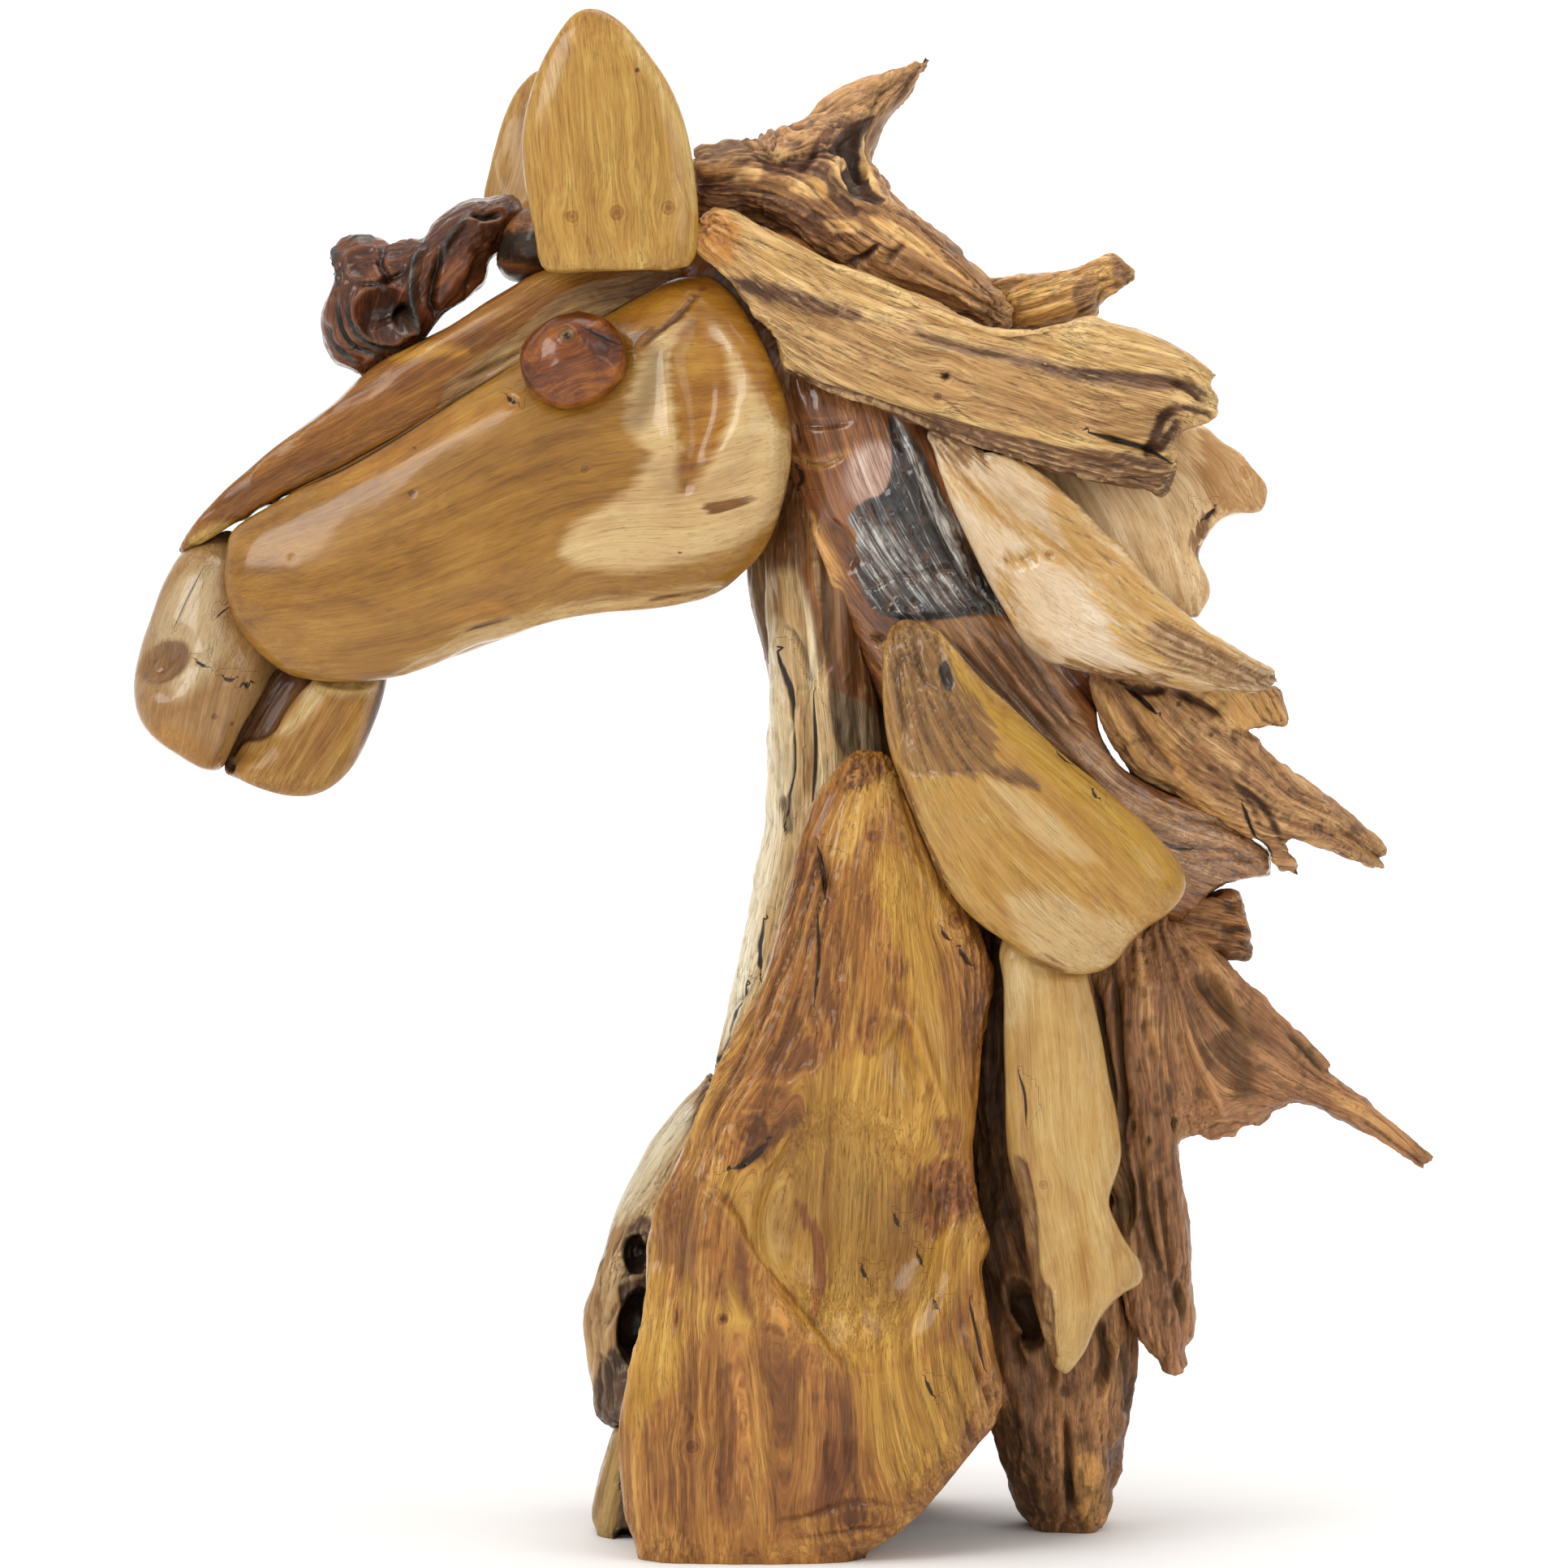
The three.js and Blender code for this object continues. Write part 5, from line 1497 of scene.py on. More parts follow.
def root_fan():
    """The fan of roots at the back, with a long spike and a thin leg."""
    guide = [[(1400, 1130, 50), (1405, 1300, 55), (1425, 1450, 45), (1450, 1690, 40)],
             [(1450, 1140, 30), (1530, 1250, 60), (1610, 1320, 40), (1690, 1370, 20), (1765, 1435, 12)]]
    look = wood("fan_wood", ((78, 53, 37), (128, 93, 66), (168, 130, 94)),
                bark=((60, 45, 30), (106, 82, 54), (144, 114, 76)),
                gold=((140, 100, 60), (178, 138, 90), (210, 174, 126)), lines=0.9, bands=0.9, gloss=0.46,
                coat=0.1, relief=1.15, seed=79.0, gain=(1.38, 1.24, 1.08))
    make("mane_root_fan", guide, [
        waves(1.8, 45, 28),
        terraces(1.4, 120, 16, 179),
        flutes(1.6, 7, 130, 79),
        cut([(1468, 1190), (1495, 1225), (1530, 1265), (1552, 1310)], 30, 10),
        cut([(1500, 1270), (1530, 1320), (1540, 1380)], 34, 9),
        cut([(1455, 1150), (1500, 1200), (1550, 1290)], 12, -4, "gold"),
        cut([(1450, 1250), (1480, 1310), (1517, 1392)], 16, -6),
        cut([(1395, 1130), (1415, 1250), (1440, 1330)], 10, -3, "gold"),
        cut([(1370, 1180), (1380, 1300), (1385, 1420)], 12, 6, "bark"),
        cut([(1345, 1200), (1358, 1290), (1375, 1380)], 10, 4, "bark"),
        cut([(1400, 1420), (1412, 1500), (1432, 1580)], 10, 5, "bark"),
        cut([(1425, 1440), (1438, 1530), (1450, 1620)], 8, 4),
        dent((1385, 1480), (16, 48), 8, mark="bark"),
        dent((1448, 1385), (6, 10), 8, mark="bark"),
        dent((1415, 1405), (4, 8), 3, mark="bark"), dent((1395, 1388), (6, 10), 3, mark="bark"),
        dent((1456, 1600), (8, 26), 7, -12, mark="bark"),
        cut([(1580, 1270), (1610, 1295), (1640, 1325)], 7, 4, "bark"),
        streak("gold", [(1640, 1350), (1690, 1380), (1740, 1420)], 14),
        crumble(1.2, 9, 81),
    ], look, soften=6, blades=[
        [(1447, 1592), (1454, 1588), (1452, 1660), (1446, 1668)],
        [(1500, 1425), (1508, 1402), (1514, 1425)],
        [(1476, 1425), (1480, 1404), (1492, 1424)],
    ], outline=FAN_OUTLINE, covers=[BOARD_OUTLINE, NECK_SLAB_OUTLINE], voxel=2.8 * MM, widen=3, edge=1)


def boards():
    """The straw-coloured board behind the chest, and its plain partner."""
    bark_edge = [(1250, 1430), (1270, 1450), (1278, 1510), (1280, 1570), (1298, 1600), (1300, 1680),
                 (1285, 1670), (1262, 1620), (1250, 1540)]
    look = wood("board_wood", ((172, 126, 72), (206, 166, 106), (226, 192, 136)),
                bark=((92, 62, 42), (146, 106, 72), (190, 152, 110)),
                gold=((160, 108, 50), (196, 148, 80), (216, 176, 110)), lines=0.7, bands=0.55, gloss=0.38,
                coat=0.35, relief=0.8, seed=83.0, gain=(0.76, 0.75, 0.64))
    guide = [[(1282, 1190), (1300, 1400), (1330, 1600), (1325, 1700)]]
    make("mane_board_near", guide, [
        waves(1.0, 60, 30),
        patch("bark", bark_edge, 1.5),
        patch("pale", [(1238, 1190), (1265, 1195), (1262, 1250), (1240, 1260)], 0.5),
        streak("gold", [(1355, 1290), (1348, 1390), (1338, 1480), (1333, 1540), (1340, 1600)], 5),
        streak("gold", [(1372, 1330), (1378, 1390), (1384, 1420)], 16),
        streak("gold", [(1352, 1510), (1372, 1530), (1390, 1545)], 10),
        crack([(1254, 1320), (1262, 1350), (1264, 1385)], 2, 1),
        flutes(1.8, 6, 60, 85, "bark"),
        cut([(1260, 1190), (1300, 1200), (1340, 1192)], 14, 1.5),
        knot((1285, 1460), 7, 0.5),
        dent((1300, 1605), (10, 14), -2), crumble(1.2, 9, 87, "bark"),
        cut([(1350, 1510), (1352, 1550), (1358, 1585)], 18, -2.5),
        dent((1385, 1560), (18, 24), -1.5),
    ], look, soften=6, outline=BOARD_OUTLINE, covers=[NECK_SLAB_OUTLINE], widen=4)
    far_partner("mane_board_far", guide, ((150, 106, 60), (190, 150, 95), (214, 178, 124)),
                seed=89.0, wave=(1.5, 50, 31), flute=(1.0, 8, 130, 89), gain=(0.8, 0.8, 0.7))


# Neck and throat

def trunk():
    """The red root that carries the head, with its charred flutes."""
    guide = [[(1010, 470, 110), (1075, 640, 110), (1170, 780, 80), (1290, 905, 55), (1400, 1000, 50),
              (1560, 1065, 40)]]
    charred = [(1096, 512), (1130, 545), (1170, 620), (1205, 690), (1256, 770), (1225, 756), (1150, 764),
               (1085, 757), (1052, 705), (1054, 660), (1044, 640), (1062, 618), (1090, 604), (1098, 566)]
    # painted highlight: a lilac sheen on the swelling by the throat
    lilac_sheen = [(1040, 580), (1056, 552), (1094, 546), (1116, 574), (1108, 612), (1076, 628),
                     (1046, 614)]
    bark_side = [(1150, 768), (1256, 772), (1345, 900), (1400, 975), (1395, 1010), (1300, 950), (1200, 840)]
    bark_tail = [(1390, 985), (1440, 985), (1510, 1010), (1565, 1050), (1560, 1080), (1460, 1100),
                 (1400, 1020)]
    look = wood("trunk_wood", ((68, 38, 20), (120, 72, 40), (162, 108, 66)),
                bark=((82, 54, 36), (158, 114, 78), (208, 166, 124)),
                # charcoal black, with its light end a painted whitish glint
                char=((7, 7, 8), (54, 52, 52), (206, 200, 196)),
                # these pale tones give the painted lilac highlight, and the pale lump at the tail
                pale=((124, 88, 74), (170, 136, 122), (206, 178, 164)),
                gold=((150, 96, 48), (192, 140, 76), (220, 176, 112)), gloss=0.34, coat=0.8, relief=1.3,
                fray=0.4, seed=97.0, gain=(1.3, 1.34, 1.3))
    make("neck_trunk", guide, [
        waves(2.0, 60, 32),
        patch("char", charred),
        patch("pale", lilac_sheen),
        patch("bark", bark_side),
        patch("bark", bark_tail),
        flutes(3.2, 6, 45, 91, "char"), crumble(2.4, 7, 92, "char"),
        cut([(1062, 600), (1085, 660), (1120, 730)], 7, 3),
        cut([(1085, 620), (1110, 680), (1150, 745)], 7, 3),
        cut([(1110, 630), (1140, 690), (1175, 740)], 7, 3),
        cut([(1130, 600), (1165, 670), (1200, 735)], 7, 2.5),
        cut([(1050, 738), (1090, 715), (1150, 706), (1200, 700)], 9, 2.5),
        cut([(1060, 750), (1130, 755), (1210, 745), (1250, 764)], 10, -3),
        cut([(1155, 770), (1220, 842), (1290, 915), (1370, 990)], 13, 6, "bark"),
        cut([(1185, 768), (1248, 850), (1315, 925)], 12, 6, "bark"),
        cut([(1215, 766), (1275, 845), (1330, 915)], 11, 5),
        cut([(1242, 770), (1295, 840), (1340, 905)], 10, 5),
        cut([(1000, 636), (1014, 670), (1028, 705), (1035, 738)], 11, -5, "gold"),
        cut([(1012, 636), (1038, 660), (1045, 690), (1036, 710)], 16, 5),
        dent((1080, 790), (11, 9), 8, mark="bark"),
        dent((1070, 830), (50, 90), 3, -15),
        cut([(975, 562), (1010, 572), (1045, 558)], 7, 3, "gold"), cut([(978, 520), (985, 550)], 5, 3),
        cut([(975, 520), (1010, 524), (1055, 516)], 9, 3),
        crack([(980, 575), (985, 590), (983, 600)], 4, 3),
        flutes(1.6, 6, 70, 93, "bark"),
        dent((1425, 1010), (24, 20), -4, mark="pale"),
        cut([(1440, 1040), (1490, 1045), (1550, 1052)], 7, 3),
        crack([(1425, 1035), (1450, 1045), (1470, 1047)], 3, 2),
        cut([(1475, 1062), (1520, 1060), (1560, 1058)], 7, 3),
        cut([(1450, 1005), (1500, 1012), (1545, 1035)], 8, 3),
        flutes(0.8, 9, 90, 94, "-char"), crumble(0.7, 9, 95, "bark"),
    ], look, voxel=3.6 * MM, soften=9, widen=16, outline=TRUNK_OUTLINE,
        covers=[CHEEK_OUTLINE, CREST_OUTLINE, BLADE_OUTLINE, NECK_SLAB_OUTLINE, CHEST_OUTLINE],
        spikes=TRUNK_FILL, edge=1)


def neck_slabs():
    """The golden neck slab with a fluted bark top, and its plain partner."""
    bark_top = [(1090, 800), (1110, 762), (1150, 772), (1178, 830), (1205, 872), (1226, 905), (1228, 935),
                (1250, 945), (1278, 962), (1275, 974), (1235, 962), (1208, 955), (1150, 956), (1118, 952),
                (1100, 900)]
    pale_middle = [(1215, 958), (1262, 978), (1310, 1020), (1345, 1060), (1300, 1052), (1250, 1010)]
    pale_foot = [(1240, 1110), (1290, 1100), (1370, 1130), (1400, 1140), (1360, 1190), (1290, 1195),
                 (1262, 1160)]
    gold_edge = [(1152, 782), (1200, 840), (1290, 905), (1400, 1005), (1455, 1070), (1440, 1100),
                 (1360, 1030), (1260, 930), (1185, 855)]
    look = wood("slab_wood", ((160, 108, 46), (202, 152, 78), (222, 182, 116)),
                bark=((92, 60, 36), (158, 112, 66), (204, 158, 104)),
                pale=((196, 154, 100), (220, 182, 130), (232, 204, 160)),
                gold=((160, 106, 30), (198, 150, 56), (214, 172, 82)),
                lines=0.7, bands=0.6, gloss=0.38, coat=0.5, fray=0.9, seed=101.0, gain=(0.72, 0.72, 0.62))
    guide = [[(1115, 770, 40), (1165, 900, 70), (1240, 1000, 110), (1330, 1090, 120), (1420, 1170, 80)]]
    make("neck_slab_near", guide, [
        waves(1.2, 70, 33),
        patch("bark", bark_top, 1.0),
        patch("pale", pale_middle),
        patch("pale", pale_foot),
        patch("gold", gold_edge),
        # painted shade: a dark strip on the slab's left edge, where its side is in shadow
        streak("bark", [(1104, 945), (1122, 1000), (1145, 1060), (1172, 1108)], 14),
        flutes(2.2, 7, 100, 99, "bark"), crumble(1.0, 9, 100, "bark"),
        cut([(1098, 790), (1104, 860), (1112, 930)], 9, 3),
        cut([(1125, 780), (1135, 830), (1160, 855)], 9, 3),
        dent((1166, 832), (8, 20), 4, -16, mark="char"),
        cut([(1180, 800), (1215, 850), (1232, 880)], 10, 2),
        step([(1150, 775), (1200, 860), (1240, 935), (1290, 1000), (1360, 1060)], -2.0, 10, 80),
        dent((1200, 1060), (70, 30), 2.0, 50),
        patch("bark", [(1262, 1178), (1300, 1188), (1310, 1200), (1262, 1198)], 0.8),
        crack([(1300, 925), (1312, 936), (1320, 942)], 2, 1), crack([(1345, 975), (1352, 985)], 3, 1),
    ], look, soften=8, outline=NECK_SLAB_OUTLINE, widen=5, edge=3)
    far_partner("neck_slab_far", guide, ((132, 88, 42), (180, 132, 68), (206, 162, 98)),
                seed=103.0, wave=(2.0, 60, 34), flute=(1.0, 10, 120, 103), gain=(0.8, 0.8, 0.68))


def throats():
    """The throat in front, pale at its edge, and a short board behind it."""
    guide = [[(985, 480), (975, 640), (985, 800), (1000, 950), (990, 1080), (950, 1220), (885, 1400)]]
    pale_edge = [(955, 760), (950, 880), (948, 1000), (925, 1120), (890, 1240), (850, 1340)]
    brown_top = [(930, 460), (1080, 460), (1100, 920), (1050, 900), (1014, 830), (1000, 760), (975, 700),
                 (940, 690)]
    look = wood("throat_wood", ((150, 112, 66), (196, 162, 110), (224, 202, 158)),
                bark=((70, 56, 42), (120, 98, 70), (160, 136, 100)),
                pale=((206, 186, 146), (230, 216, 184), (242, 234, 212)),
                gold=((76, 44, 20), (114, 70, 34), (154, 106, 60)), bands=0.9, coat=0.25, relief=1.3,
                seed=107.0)
    make("throat_front", guide, [
        waves(1.8, 60, 36),
        streak("pale", pale_edge, 30),
        patch("gold", brown_top),
        cut([(990, 700), (1000, 780), (996, 840)], 10, -3, "pale"),
        cut([(1012, 640), (1020, 760), (1010, 850)], 12, 4),
        crack([(962, 800), (972, 880), (972, 960), (962, 1020)], 4, 3),
        patch("bark", [(958, 985), (974, 985), (976, 1020), (964, 1026)], 1.0),
        crack([(1002, 850), (1004, 930), (1000, 1000)], 3, 2),
        cut([(955, 760), (985, 800), (1000, 850)], 8, 3),
        patch("bark", [(1020, 850), (1100, 890), (1100, 935), (1040, 930)]),
        terraces(2.5, 150, 22, 205),
        flutes(2.0, 8, 160, 105),
                crack([(938, 1130), (928, 1180), (936, 1210)], 4, 2),
                crack([(912, 1210), (900, 1260), (880, 1310)], 4, 2),
    ], look, voxel=3.8 * MM, soften=7, covers=[CHEEK_OUTLINE, CHEST_OUTLINE, NECK_SLAB_OUTLINE])
    make("throat_far", [[(930, 690), (950, 850)]], [
        flutes(1.5, 6, 100, 107),
    ], wood("throat_far_wood", ((84, 60, 38), (138, 104, 64), (180, 142, 94)), relief=1.4, seed=109.0),
        voxel=4.2 * MM, soften=6)


# Chest and base

def chest():
    """The chest slab with its polished bowl, flutes and streaked foot, and its plain partner."""
    pale_crown = [(1052, 956), (1092, 928), (1104, 965), (1078, 1010), (1042, 1060), (1024, 1046),
                  (1042, 985)]
    bark_flutes = [(968, 1060), (1000, 1038), (1022, 1080), (1038, 1130), (1040, 1230), (1030, 1290),
                   (990, 1322), (930, 1330), (900, 1330), (940, 1230), (962, 1150)]
    bark_notch = [(1065, 1115), (1080, 1118), (1100, 1160), (1122, 1195), (1105, 1205), (1080, 1180),
                  (1062, 1135)]
    bowl = [(880, 1455), (930, 1400), (965, 1345), (1040, 1300), (1100, 1262), (1145, 1330), (1180, 1430),
            (1200, 1540), (1170, 1620), (1120, 1680), (1060, 1690), (1010, 1655), (950, 1585), (915, 1530)]
    pale_bowl = [(905, 1440), (955, 1450), (985, 1500), (990, 1560), (965, 1585), (930, 1545)]
    knot_floor = [(1150, 1446), (1176, 1432), (1198, 1450), (1200, 1480), (1176, 1496), (1150, 1484)]
    knot_rim = [(1118, 1462), (1140, 1436), (1172, 1424), (1196, 1438), (1204, 1470), (1196, 1498),
                (1166, 1512), (1140, 1524), (1122, 1502)]
    bark_brow = [(895, 1345), (945, 1338), (985, 1352), (985, 1385), (950, 1420), (905, 1440), (880, 1420),
                 (878, 1380)]
    gold_left = [(775, 1590), (800, 1560), (855, 1590), (850, 1660), (800, 1745), (772, 1760), (770, 1700)]
    gold_right = [(1060, 1700), (1140, 1672), (1205, 1640), (1200, 1740), (1130, 1830), (1085, 1800)]
    gold_back = [(1078, 1062), (1120, 1055), (1165, 1110), (1160, 1200), (1190, 1380), (1160, 1400),
                 (1130, 1280), (1100, 1180)]
    dark_drop = [(890, 1760), (905, 1740), (908, 1780), (898, 1850), (885, 1840), (885, 1790)]
    dark_flame = [(1010, 1760), (1030, 1775), (1040, 1815), (1028, 1860), (990, 1870), (985, 1850),
                  (1005, 1820)]
    bark_fleck = [(940, 1630), (950, 1625), (952, 1660), (955, 1700), (945, 1700), (935, 1660)]
    bark_flame = [(870, 1790), (900, 1740), (912, 1700), (925, 1740), (920, 1850), (900, 1880), (880, 1840)]
    bowl_wall = [(1120, 1700), (1040, 1690), (1002, 1645), (955, 1588), (925, 1540), (900, 1490),
                 (868, 1455), (860, 1420)]
    bowl_lip = [(866, 1452), (900, 1494), (926, 1550), (978, 1606), (1030, 1676), (1080, 1694)]
    look = wood("chest_wood", ((114, 70, 36), (167, 115, 60), (204, 156, 92)),
                bark=((94, 56, 30), (163, 108, 60), (208, 154, 92)),
                pale=((176, 132, 68), (203, 160, 90), (226, 190, 128)),
                gold=((138, 96, 40), (180, 136, 62), (210, 170, 96)),
                char=((100, 56, 32), (144, 90, 52), (180, 122, 74)),
                lines=1.3, bands=0.95, gloss=0.38, coat=0.35, relief=1.2, fray=1.5, soft=1.1,
                order=("gold", "pale", "bark"), seed=113.0, gain=(0.9, 0.83, 0.58))
    guide = [
        [(1075, 920, 60), (1070, 1050, 90), (1060, 1200, 110), (1040, 1400, 120), (1030, 1600, 120),
         (1050, 1920, 120)],
        [(1060, 930, 40), (1010, 1080, 70), (960, 1250, 80), (890, 1400, 90), (850, 1560, 100),
         (850, 1920, 120)],
        [(1110, 960, 40), (1160, 1150, 60), (1180, 1350, 60), (1150, 1550, 80), (1150, 1700, 90),
         (1200, 1860, 90)],
    ]
    make("chest_slab_near", guide, [
        waves(1.8, 80, 38),
        patch("pale", pale_crown),
        patch("bark", [(1052, 927), (1098, 940), (1070, 965), (1040, 970), (1030, 960)]),
        patch("bark", bark_flutes, 0.6),
        patch("bark", bark_notch),
        patch("bark", [(1070, 1235), (1082, 1250), (1080, 1295), (1062, 1300), (1058, 1265)]),
        patch("gold", bowl),
        patch("pale", pale_bowl), streak("char", [(985, 1480), (1012, 1540), (1005, 1620)], 16),
        streak("bark", [(868, 1455), (905, 1490), (930, 1548), (975, 1600), (1020, 1640)], 7),
        patch("bark", [(1196, 1140), (1224, 1150), (1226, 1270), (1205, 1300), (1196, 1240)]),
        patch("char", knot_floor, 1.0),
        patch("bark", knot_rim, 1.2, 6.0),
        patch("bark", bark_brow),
        cut([(960, 1360), (975, 1385), (962, 1420), (930, 1452)], 7, -2.5, "gold"),
        cut([(905, 1372), (945, 1368), (962, 1380)], 6, -2, "gold"),
        cut([(1128, 1500), (1140, 1470), (1162, 1450), (1190, 1452)], 6, 2, "char"),
        cut([(1140, 1512), (1156, 1486), (1180, 1480)], 5, 2, "char"),
        patch("gold", gold_left),
        patch("gold", gold_right),
        patch("gold", gold_back),
        patch("bark", [(1155, 1385), (1178, 1378), (1180, 1415), (1160, 1420)], 1.0),
        streak("bark", [(905, 1640), (900, 1740), (896, 1880)], 34),
        streak("bark", [(950, 1600), (965, 1720), (960, 1890)], 26),
        streak("bark", [(990, 1660), (1030, 1760), (1050, 1890)], 40),
        streak("bark", [(845, 1600), (850, 1720), (846, 1870)], 14),
        streak("bark", [(850, 1440), (835, 1520), (830, 1640)], 20),
        streak("bark", [(880, 1470), (880, 1540), (890, 1620)], 22),
        streak("bark", [(905, 1510), (915, 1570), (930, 1640)], 16),
        patch("char", dark_drop),
        patch("char", dark_flame),
        patch("bark", bark_fleck),
        patch("bark", bark_flame),
        patch("bark", [(1200, 1660), (1215, 1655), (1236, 1730), (1225, 1745), (1208, 1710)]),
        step(bowl_wall, -9.0, 8, 110),
        dent((1050, 1500), (135, 190), 10, -14),
        dent((955, 1515), (48, 60), 5, -20), dent((1120, 1560), (60, 110), 5, 12),
        dent((1000, 1380), (90, 50), 3, -30),
        dent((830, 1530), (40, 90), 4, 20), dent((1170, 1260), (40, 120), 5, -4),
        cut(bowl_lip, 10, -4.5),
        cut([(1098, 1248), (1124, 1262), (1150, 1330), (1172, 1410)], 12, -6, "pale"),
        step([(1172, 1410), (1148, 1330), (1122, 1262), (1095, 1248)], 4.5, 8, 60),
        streak("pale", [(1100, 1245), (1128, 1268), (1152, 1330), (1176, 1412)], 10),
        streak("pale", [(1040, 1290), (1052, 1240), (1046, 1180)], 10),
        streak("pale", [(1010, 1330), (1030, 1290), (1036, 1250)], 8),
        flutes(3.0, 6, 120, 111, "bark"),
        flutes(1.8, 8, 160, 113, "-gold"),
        crack([(1006, 1040), (1012, 1075), (1016, 1108)], 4, 4),
        crack([(1006, 1120), (1008, 1180), (1002, 1240)], 3, 2),
        knot((1180, 1133), 13, 1.0),
        crack([(1160, 1145), (1172, 1158)], 3, 2),
        crack([(1183, 1168), (1195, 1180), (1200, 1190)], 4, 2.5),
        crack([(902, 1441), (925, 1430), (948, 1408)], 6, 4), knot((925, 1392), 22, 1.5),
        dent((1080, 1850), (46, 34), -3, -30), crack([(1140, 1700), (1146, 1712), (1150, 1722)], 3, 1.5),
        crack([(1196, 1600), (1206, 1640), (1214, 1690)], 3, 2), crack([(1098, 1500), (1103, 1512)], 3, 1),
        crack([(1060, 1560), (1066, 1574)], 3, 1), crack([(1120, 1540), (1126, 1556)], 3, 1),
        crack([(1150, 1600), (1156, 1614)], 3, 1),
        knot((1175, 1465), 14, 1.0), dent((1075, 1030), (9, 9), 1.5, mark="char"),
        knot((890, 1625), 9, 1.0), dent((891, 1625), (6, 6), 2.5, mark="char"),
        dent((905, 1612), (34, 30), 1.5, 20, mark="gold"),
        knot((853, 1783), 9, 1.5), dent((947, 1637), (6, 5), 1.2, mark="char"),
        dent((915, 1702), (4, 8), 1.2, mark="char"),
        knot((1060, 1870), 22, 1.0),
        cut([(945, 1200), (915, 1260), (880, 1330), (850, 1400), (820, 1460)], 9, -3, "pale"),
        cut([(930, 1270), (890, 1340), (858, 1410), (826, 1480)], 7, 2.5),
        cut([(800, 1500), (800, 1580), (780, 1660), (762, 1740)], 12, -2, "pale"),
        cut([(1160, 1660), (1190, 1740), (1205, 1800)], 7, 2.5),
        cut([(1120, 1680), (1150, 1760), (1170, 1830)], 6, 2.2),
        cut([(1190, 1650), (1210, 1700), (1228, 1740)], 7, 3, "bark"),
        cut([(1090, 1700), (1120, 1780), (1140, 1840)], 6, 2),
        cut([(940, 1880), (1000, 1868), (1060, 1850), (1120, 1860)], 9, 3),
        cut([(960, 1900), (1040, 1890), (1110, 1880)], 8, 2.5),
        crumble(1.0, 9, 115, "bark"),
    ], look, voxel=3.4 * MM, soften=12, outline=CHEST_OUTLINE, widen=5)
    far_partner("chest_slab_far", guide, ((100, 62, 34), (150, 100, 54), (186, 138, 84)),
                seed=127.0, wave=(3.0, 80, 39), flute=(2.0, 10, 160, 117), gain=(0.9, 0.85, 0.8),
                relief=1.4)


def chest_front():
    """The pale pointed piece before the chest, with two pits, and the foot below it."""
    guide = [[(900, 1320, 30), (820, 1440, 50), (750, 1580, 60), (745, 1760, 40)]]
    bark_side = [(800, 1500), (770, 1520), (768, 1575), (762, 1600), (765, 1640), (735, 1690), (730, 1760),
                 (800, 1760), (830, 1600)]
    make("chest_front", guide, [
        waves(2.0, 50, 40),
        patch("bark", bark_side),
        patch("bark", [(880, 1320), (860, 1345), (848, 1395), (870, 1390)]),
        streak("pale", [(850, 1360), (800, 1430), (758, 1510)], 34),
        cut([(758, 1600), (768, 1580), (800, 1572)], 9, -4),
        dent((782, 1546), (15, 26), 12, mark="char"), dent((782, 1630), (22, 48), 14, 10, mark="char"),
        cut([(742, 1640), (760, 1610), (775, 1600)], 8, 3),
        cut([(728, 1670), (745, 1680), (752, 1740)], 8, 3),
        flutes(1.8, 8, 110, 119),
        crumble(1.2, 10, 121, "bark"),
    ], wood("front_wood", ((140, 98, 58), (192, 152, 98), (222, 190, 140)),
            bark=((48, 32, 22), (98, 68, 44), (140, 102, 66)),
            pale=((210, 184, 140), (232, 214, 178), (242, 230, 204)),
            char=((24, 18, 14), (48, 34, 24), (80, 58, 40)),
            relief=1.4, gloss=0.42, seed=131.0, gain=(0.77, 0.78, 0.79)), soften=7, outline=FRONT_OUTLINE,
            covers=[CHEST_OUTLINE], voxel=3.2 * MM, widen=3, edge=1)
    make("front_foot", [[(790, 1700), (745, 1890)]], [
        waves(1.2, 40, 41), flutes(1.4, 8, 110, 123),
        patch("bark", [(770, 1800), (790, 1780), (790, 1900), (752, 1895), (760, 1870)]),
        crack([(764, 1810), (762, 1832)], 4, 3),
    ], wood("foot_wood", ((130, 92, 44), (184, 144, 78), (208, 172, 106)),
            bark=((60, 42, 26), (100, 74, 44), (140, 106, 66)),
            relief=1.2, seed=137.0, gain=(0.72, 0.72, 0.7)), soften=6, outline=FOOT_OUTLINE,
            covers=[CHEST_OUTLINE], widen=3, edge=1)


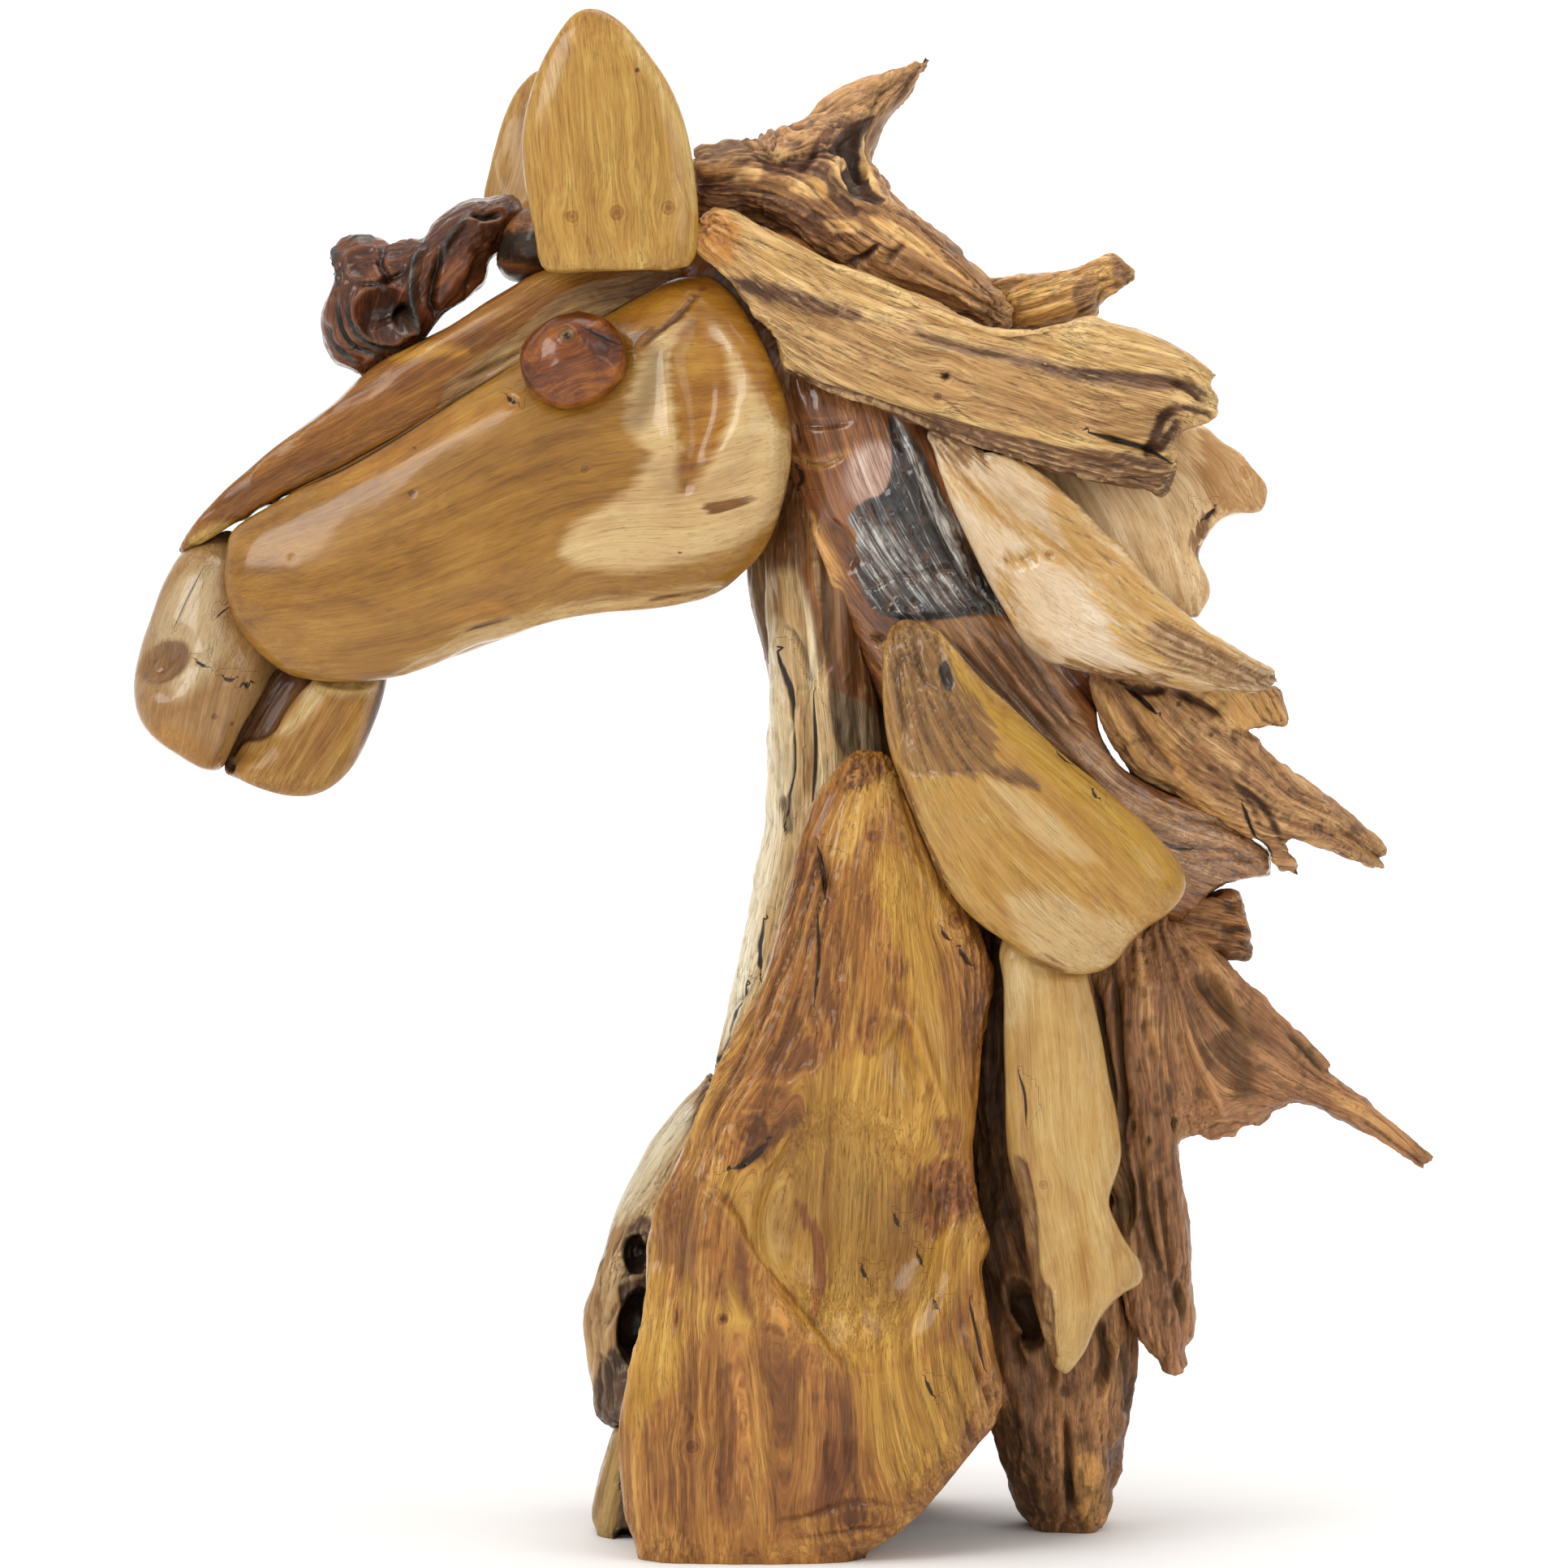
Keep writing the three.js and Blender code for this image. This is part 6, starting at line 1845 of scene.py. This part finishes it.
def lower_trunk():
    """The dark trunk behind the chest, down to the floor."""
    guide = [[(1220, 1150), (1235, 1400), (1275, 1600), (1300, 1880)]]
    bark_front = [(1190, 1100), (1245, 1100), (1245, 1480), (1225, 1700), (1200, 1640), (1190, 1400)]
    look = wood("lower_wood", ((60, 40, 27), (108, 76, 52), (150, 112, 78)),
                bark=((44, 30, 20), (84, 58, 38), (124, 90, 58)),
                gold=((110, 78, 44), (150, 112, 66), (186, 144, 92)), lines=0.9, bands=0.9, gloss=0.46,
                coat=0.1, relief=1.15, seed=139.0, gain=(1.62, 1.5, 1.22))
    make("lower_trunk", guide, [
        waves(2.5, 50, 42),
        terraces(2.4, 130, 18, 225),
        flutes(2.4, 9, 140, 125),
        patch("bark", bark_front),
        patch("bark", [(1240, 1740), (1290, 1790), (1280, 1870), (1240, 1850)]),
        dent((1262, 1618), (20, 50), 10, -18, mark="bark", rim=3),
        cut([(1240, 1580), (1250, 1640), (1280, 1690)], 10, -5),
        cut([(1355, 1620), (1365, 1670), (1358, 1715)], 18, 8, "bark"),
        cut([(1385, 1640), (1370, 1690), (1360, 1730)], 10, -4, "gold"),
        cut([(1313, 1740), (1316, 1800), (1318, 1870)], 9, 9, "bark"),
        cut([(1385, 1640), (1392, 1700), (1392, 1760)], 9, 4, "bark"),
        streak("gold", [(1335, 1790), (1345, 1840), (1345, 1880)], 40),
        crumble(1.4, 10, 127),
    ], look, voxel=3.6 * MM, soften=7, covers=[CHEST_OUTLINE, BOARD_OUTLINE, NECK_SLAB_OUTLINE,
                                               FAN_OUTLINE])


PIECES = (
    ears, poll, forelock, plank, muzzle, chin, cheeks, eyes, jaw,
    horn, spur, crest_slabs, blades_of_mane, flap, claw, stub, root_fan, boards,
    trunk, neck_slabs, throats, chest, chest_front, lower_trunk,
)


# Studio

FLOOR_FRONT = -7.0
FLOOR_BACK = 4.0
FLOOR_SIDE = 9.0
WALL_RADIUS = 2.0
WALL_TOP = 8.0
LAMP_COLOUR = (1.0, 0.985, 0.96)
SKY_COLOUR = (1.0, 0.99, 0.97, 1)
SKY_STRENGTH = 0.76

# Name, place, aim, size and power
LAMPS = (
    ("key", (-2.1, -2.2, 2.0), (0, 0, 0.5), 1.5, 44),
    ("fill", (2.2, -2.2, 1.2), (0, 0, 0.4), 1.4, 12),
    ("top", (0.3, -0.2, 2.6), (0, 0, 0.5), 1.5, 18),
    ("backdrop", (0.0, 2.2, 3.4), (0, 5.5, 1.0), 3.0, 160),
)


def backdrop():
    """A white floor that bends up into a wall behind the sculpture."""
    bm = bmesh.new()
    bend = [
        (FLOOR_BACK + WALL_RADIUS * math.sin(a), WALL_RADIUS - WALL_RADIUS * math.cos(a))
        for a in np.linspace(0.1, math.pi / 2, 12)]
    profile = [(FLOOR_FRONT, 0.0), (FLOOR_BACK, 0.0), *bend, (FLOOR_BACK + WALL_RADIUS, WALL_TOP)]
    rows = [[bm.verts.new((x, y, z)) for x in (-FLOOR_SIDE, FLOOR_SIDE)] for y, z in profile]
    for a, b in zip(rows[:-1], rows[1:]):
        bm.faces.new([a[0], a[1], b[1], b[0]])
    mesh = mesh_of(bm, "floor")
    web = Web("floor_paint")
    web.surface({"Base Color": (0.97, 0.97, 0.97, 1), "Roughness": 0.9, "Specular IOR Level": 0.1})
    mesh.materials.append(web.material)
    mesh.shade_smooth()
    link(bpy.data.objects.new("floor", mesh))


def sky():
    studio = bpy.data.worlds.new("studio")
    studio.use_nodes = True
    inputs = studio.node_tree.nodes["Background"].inputs
    inputs["Color"].default_value = SKY_COLOUR
    inputs["Strength"].default_value = SKY_STRENGTH
    bpy.context.scene.world = studio


def lamps():
    for name, place, aim, size, power in LAMPS:
        data = bpy.data.lights.new(name, "AREA")
        data.shape = "SQUARE"
        data.size = size
        data.energy = power
        data.color = LAMP_COLOUR
        lamp = link(bpy.data.objects.new(name, data))
        lamp.location = place
        lamp.rotation_euler = (Vector(aim) - Vector(place)).to_track_quat("-Z", "Y").to_euler()


def camera():
    data = bpy.data.cameras.new("camera")
    data.sensor_width = SENSOR_WIDTH
    data.lens = SENSOR_WIDTH / 2 / (VIEW_WIDTH / 2 / VIEW_DISTANCE)
    cam = link(bpy.data.objects.new("camera", data))
    cam.location = (0.0, -VIEW_DISTANCE, VIEW_HEIGHT)
    cam.rotation_euler = (math.pi / 2, 0.0, 0.0)
    bpy.context.scene.camera = cam


for build in PIECES:
    build()
backdrop()
sky()
lamps()
camera()
bpy.context.scene.view_settings.view_transform = "Standard"
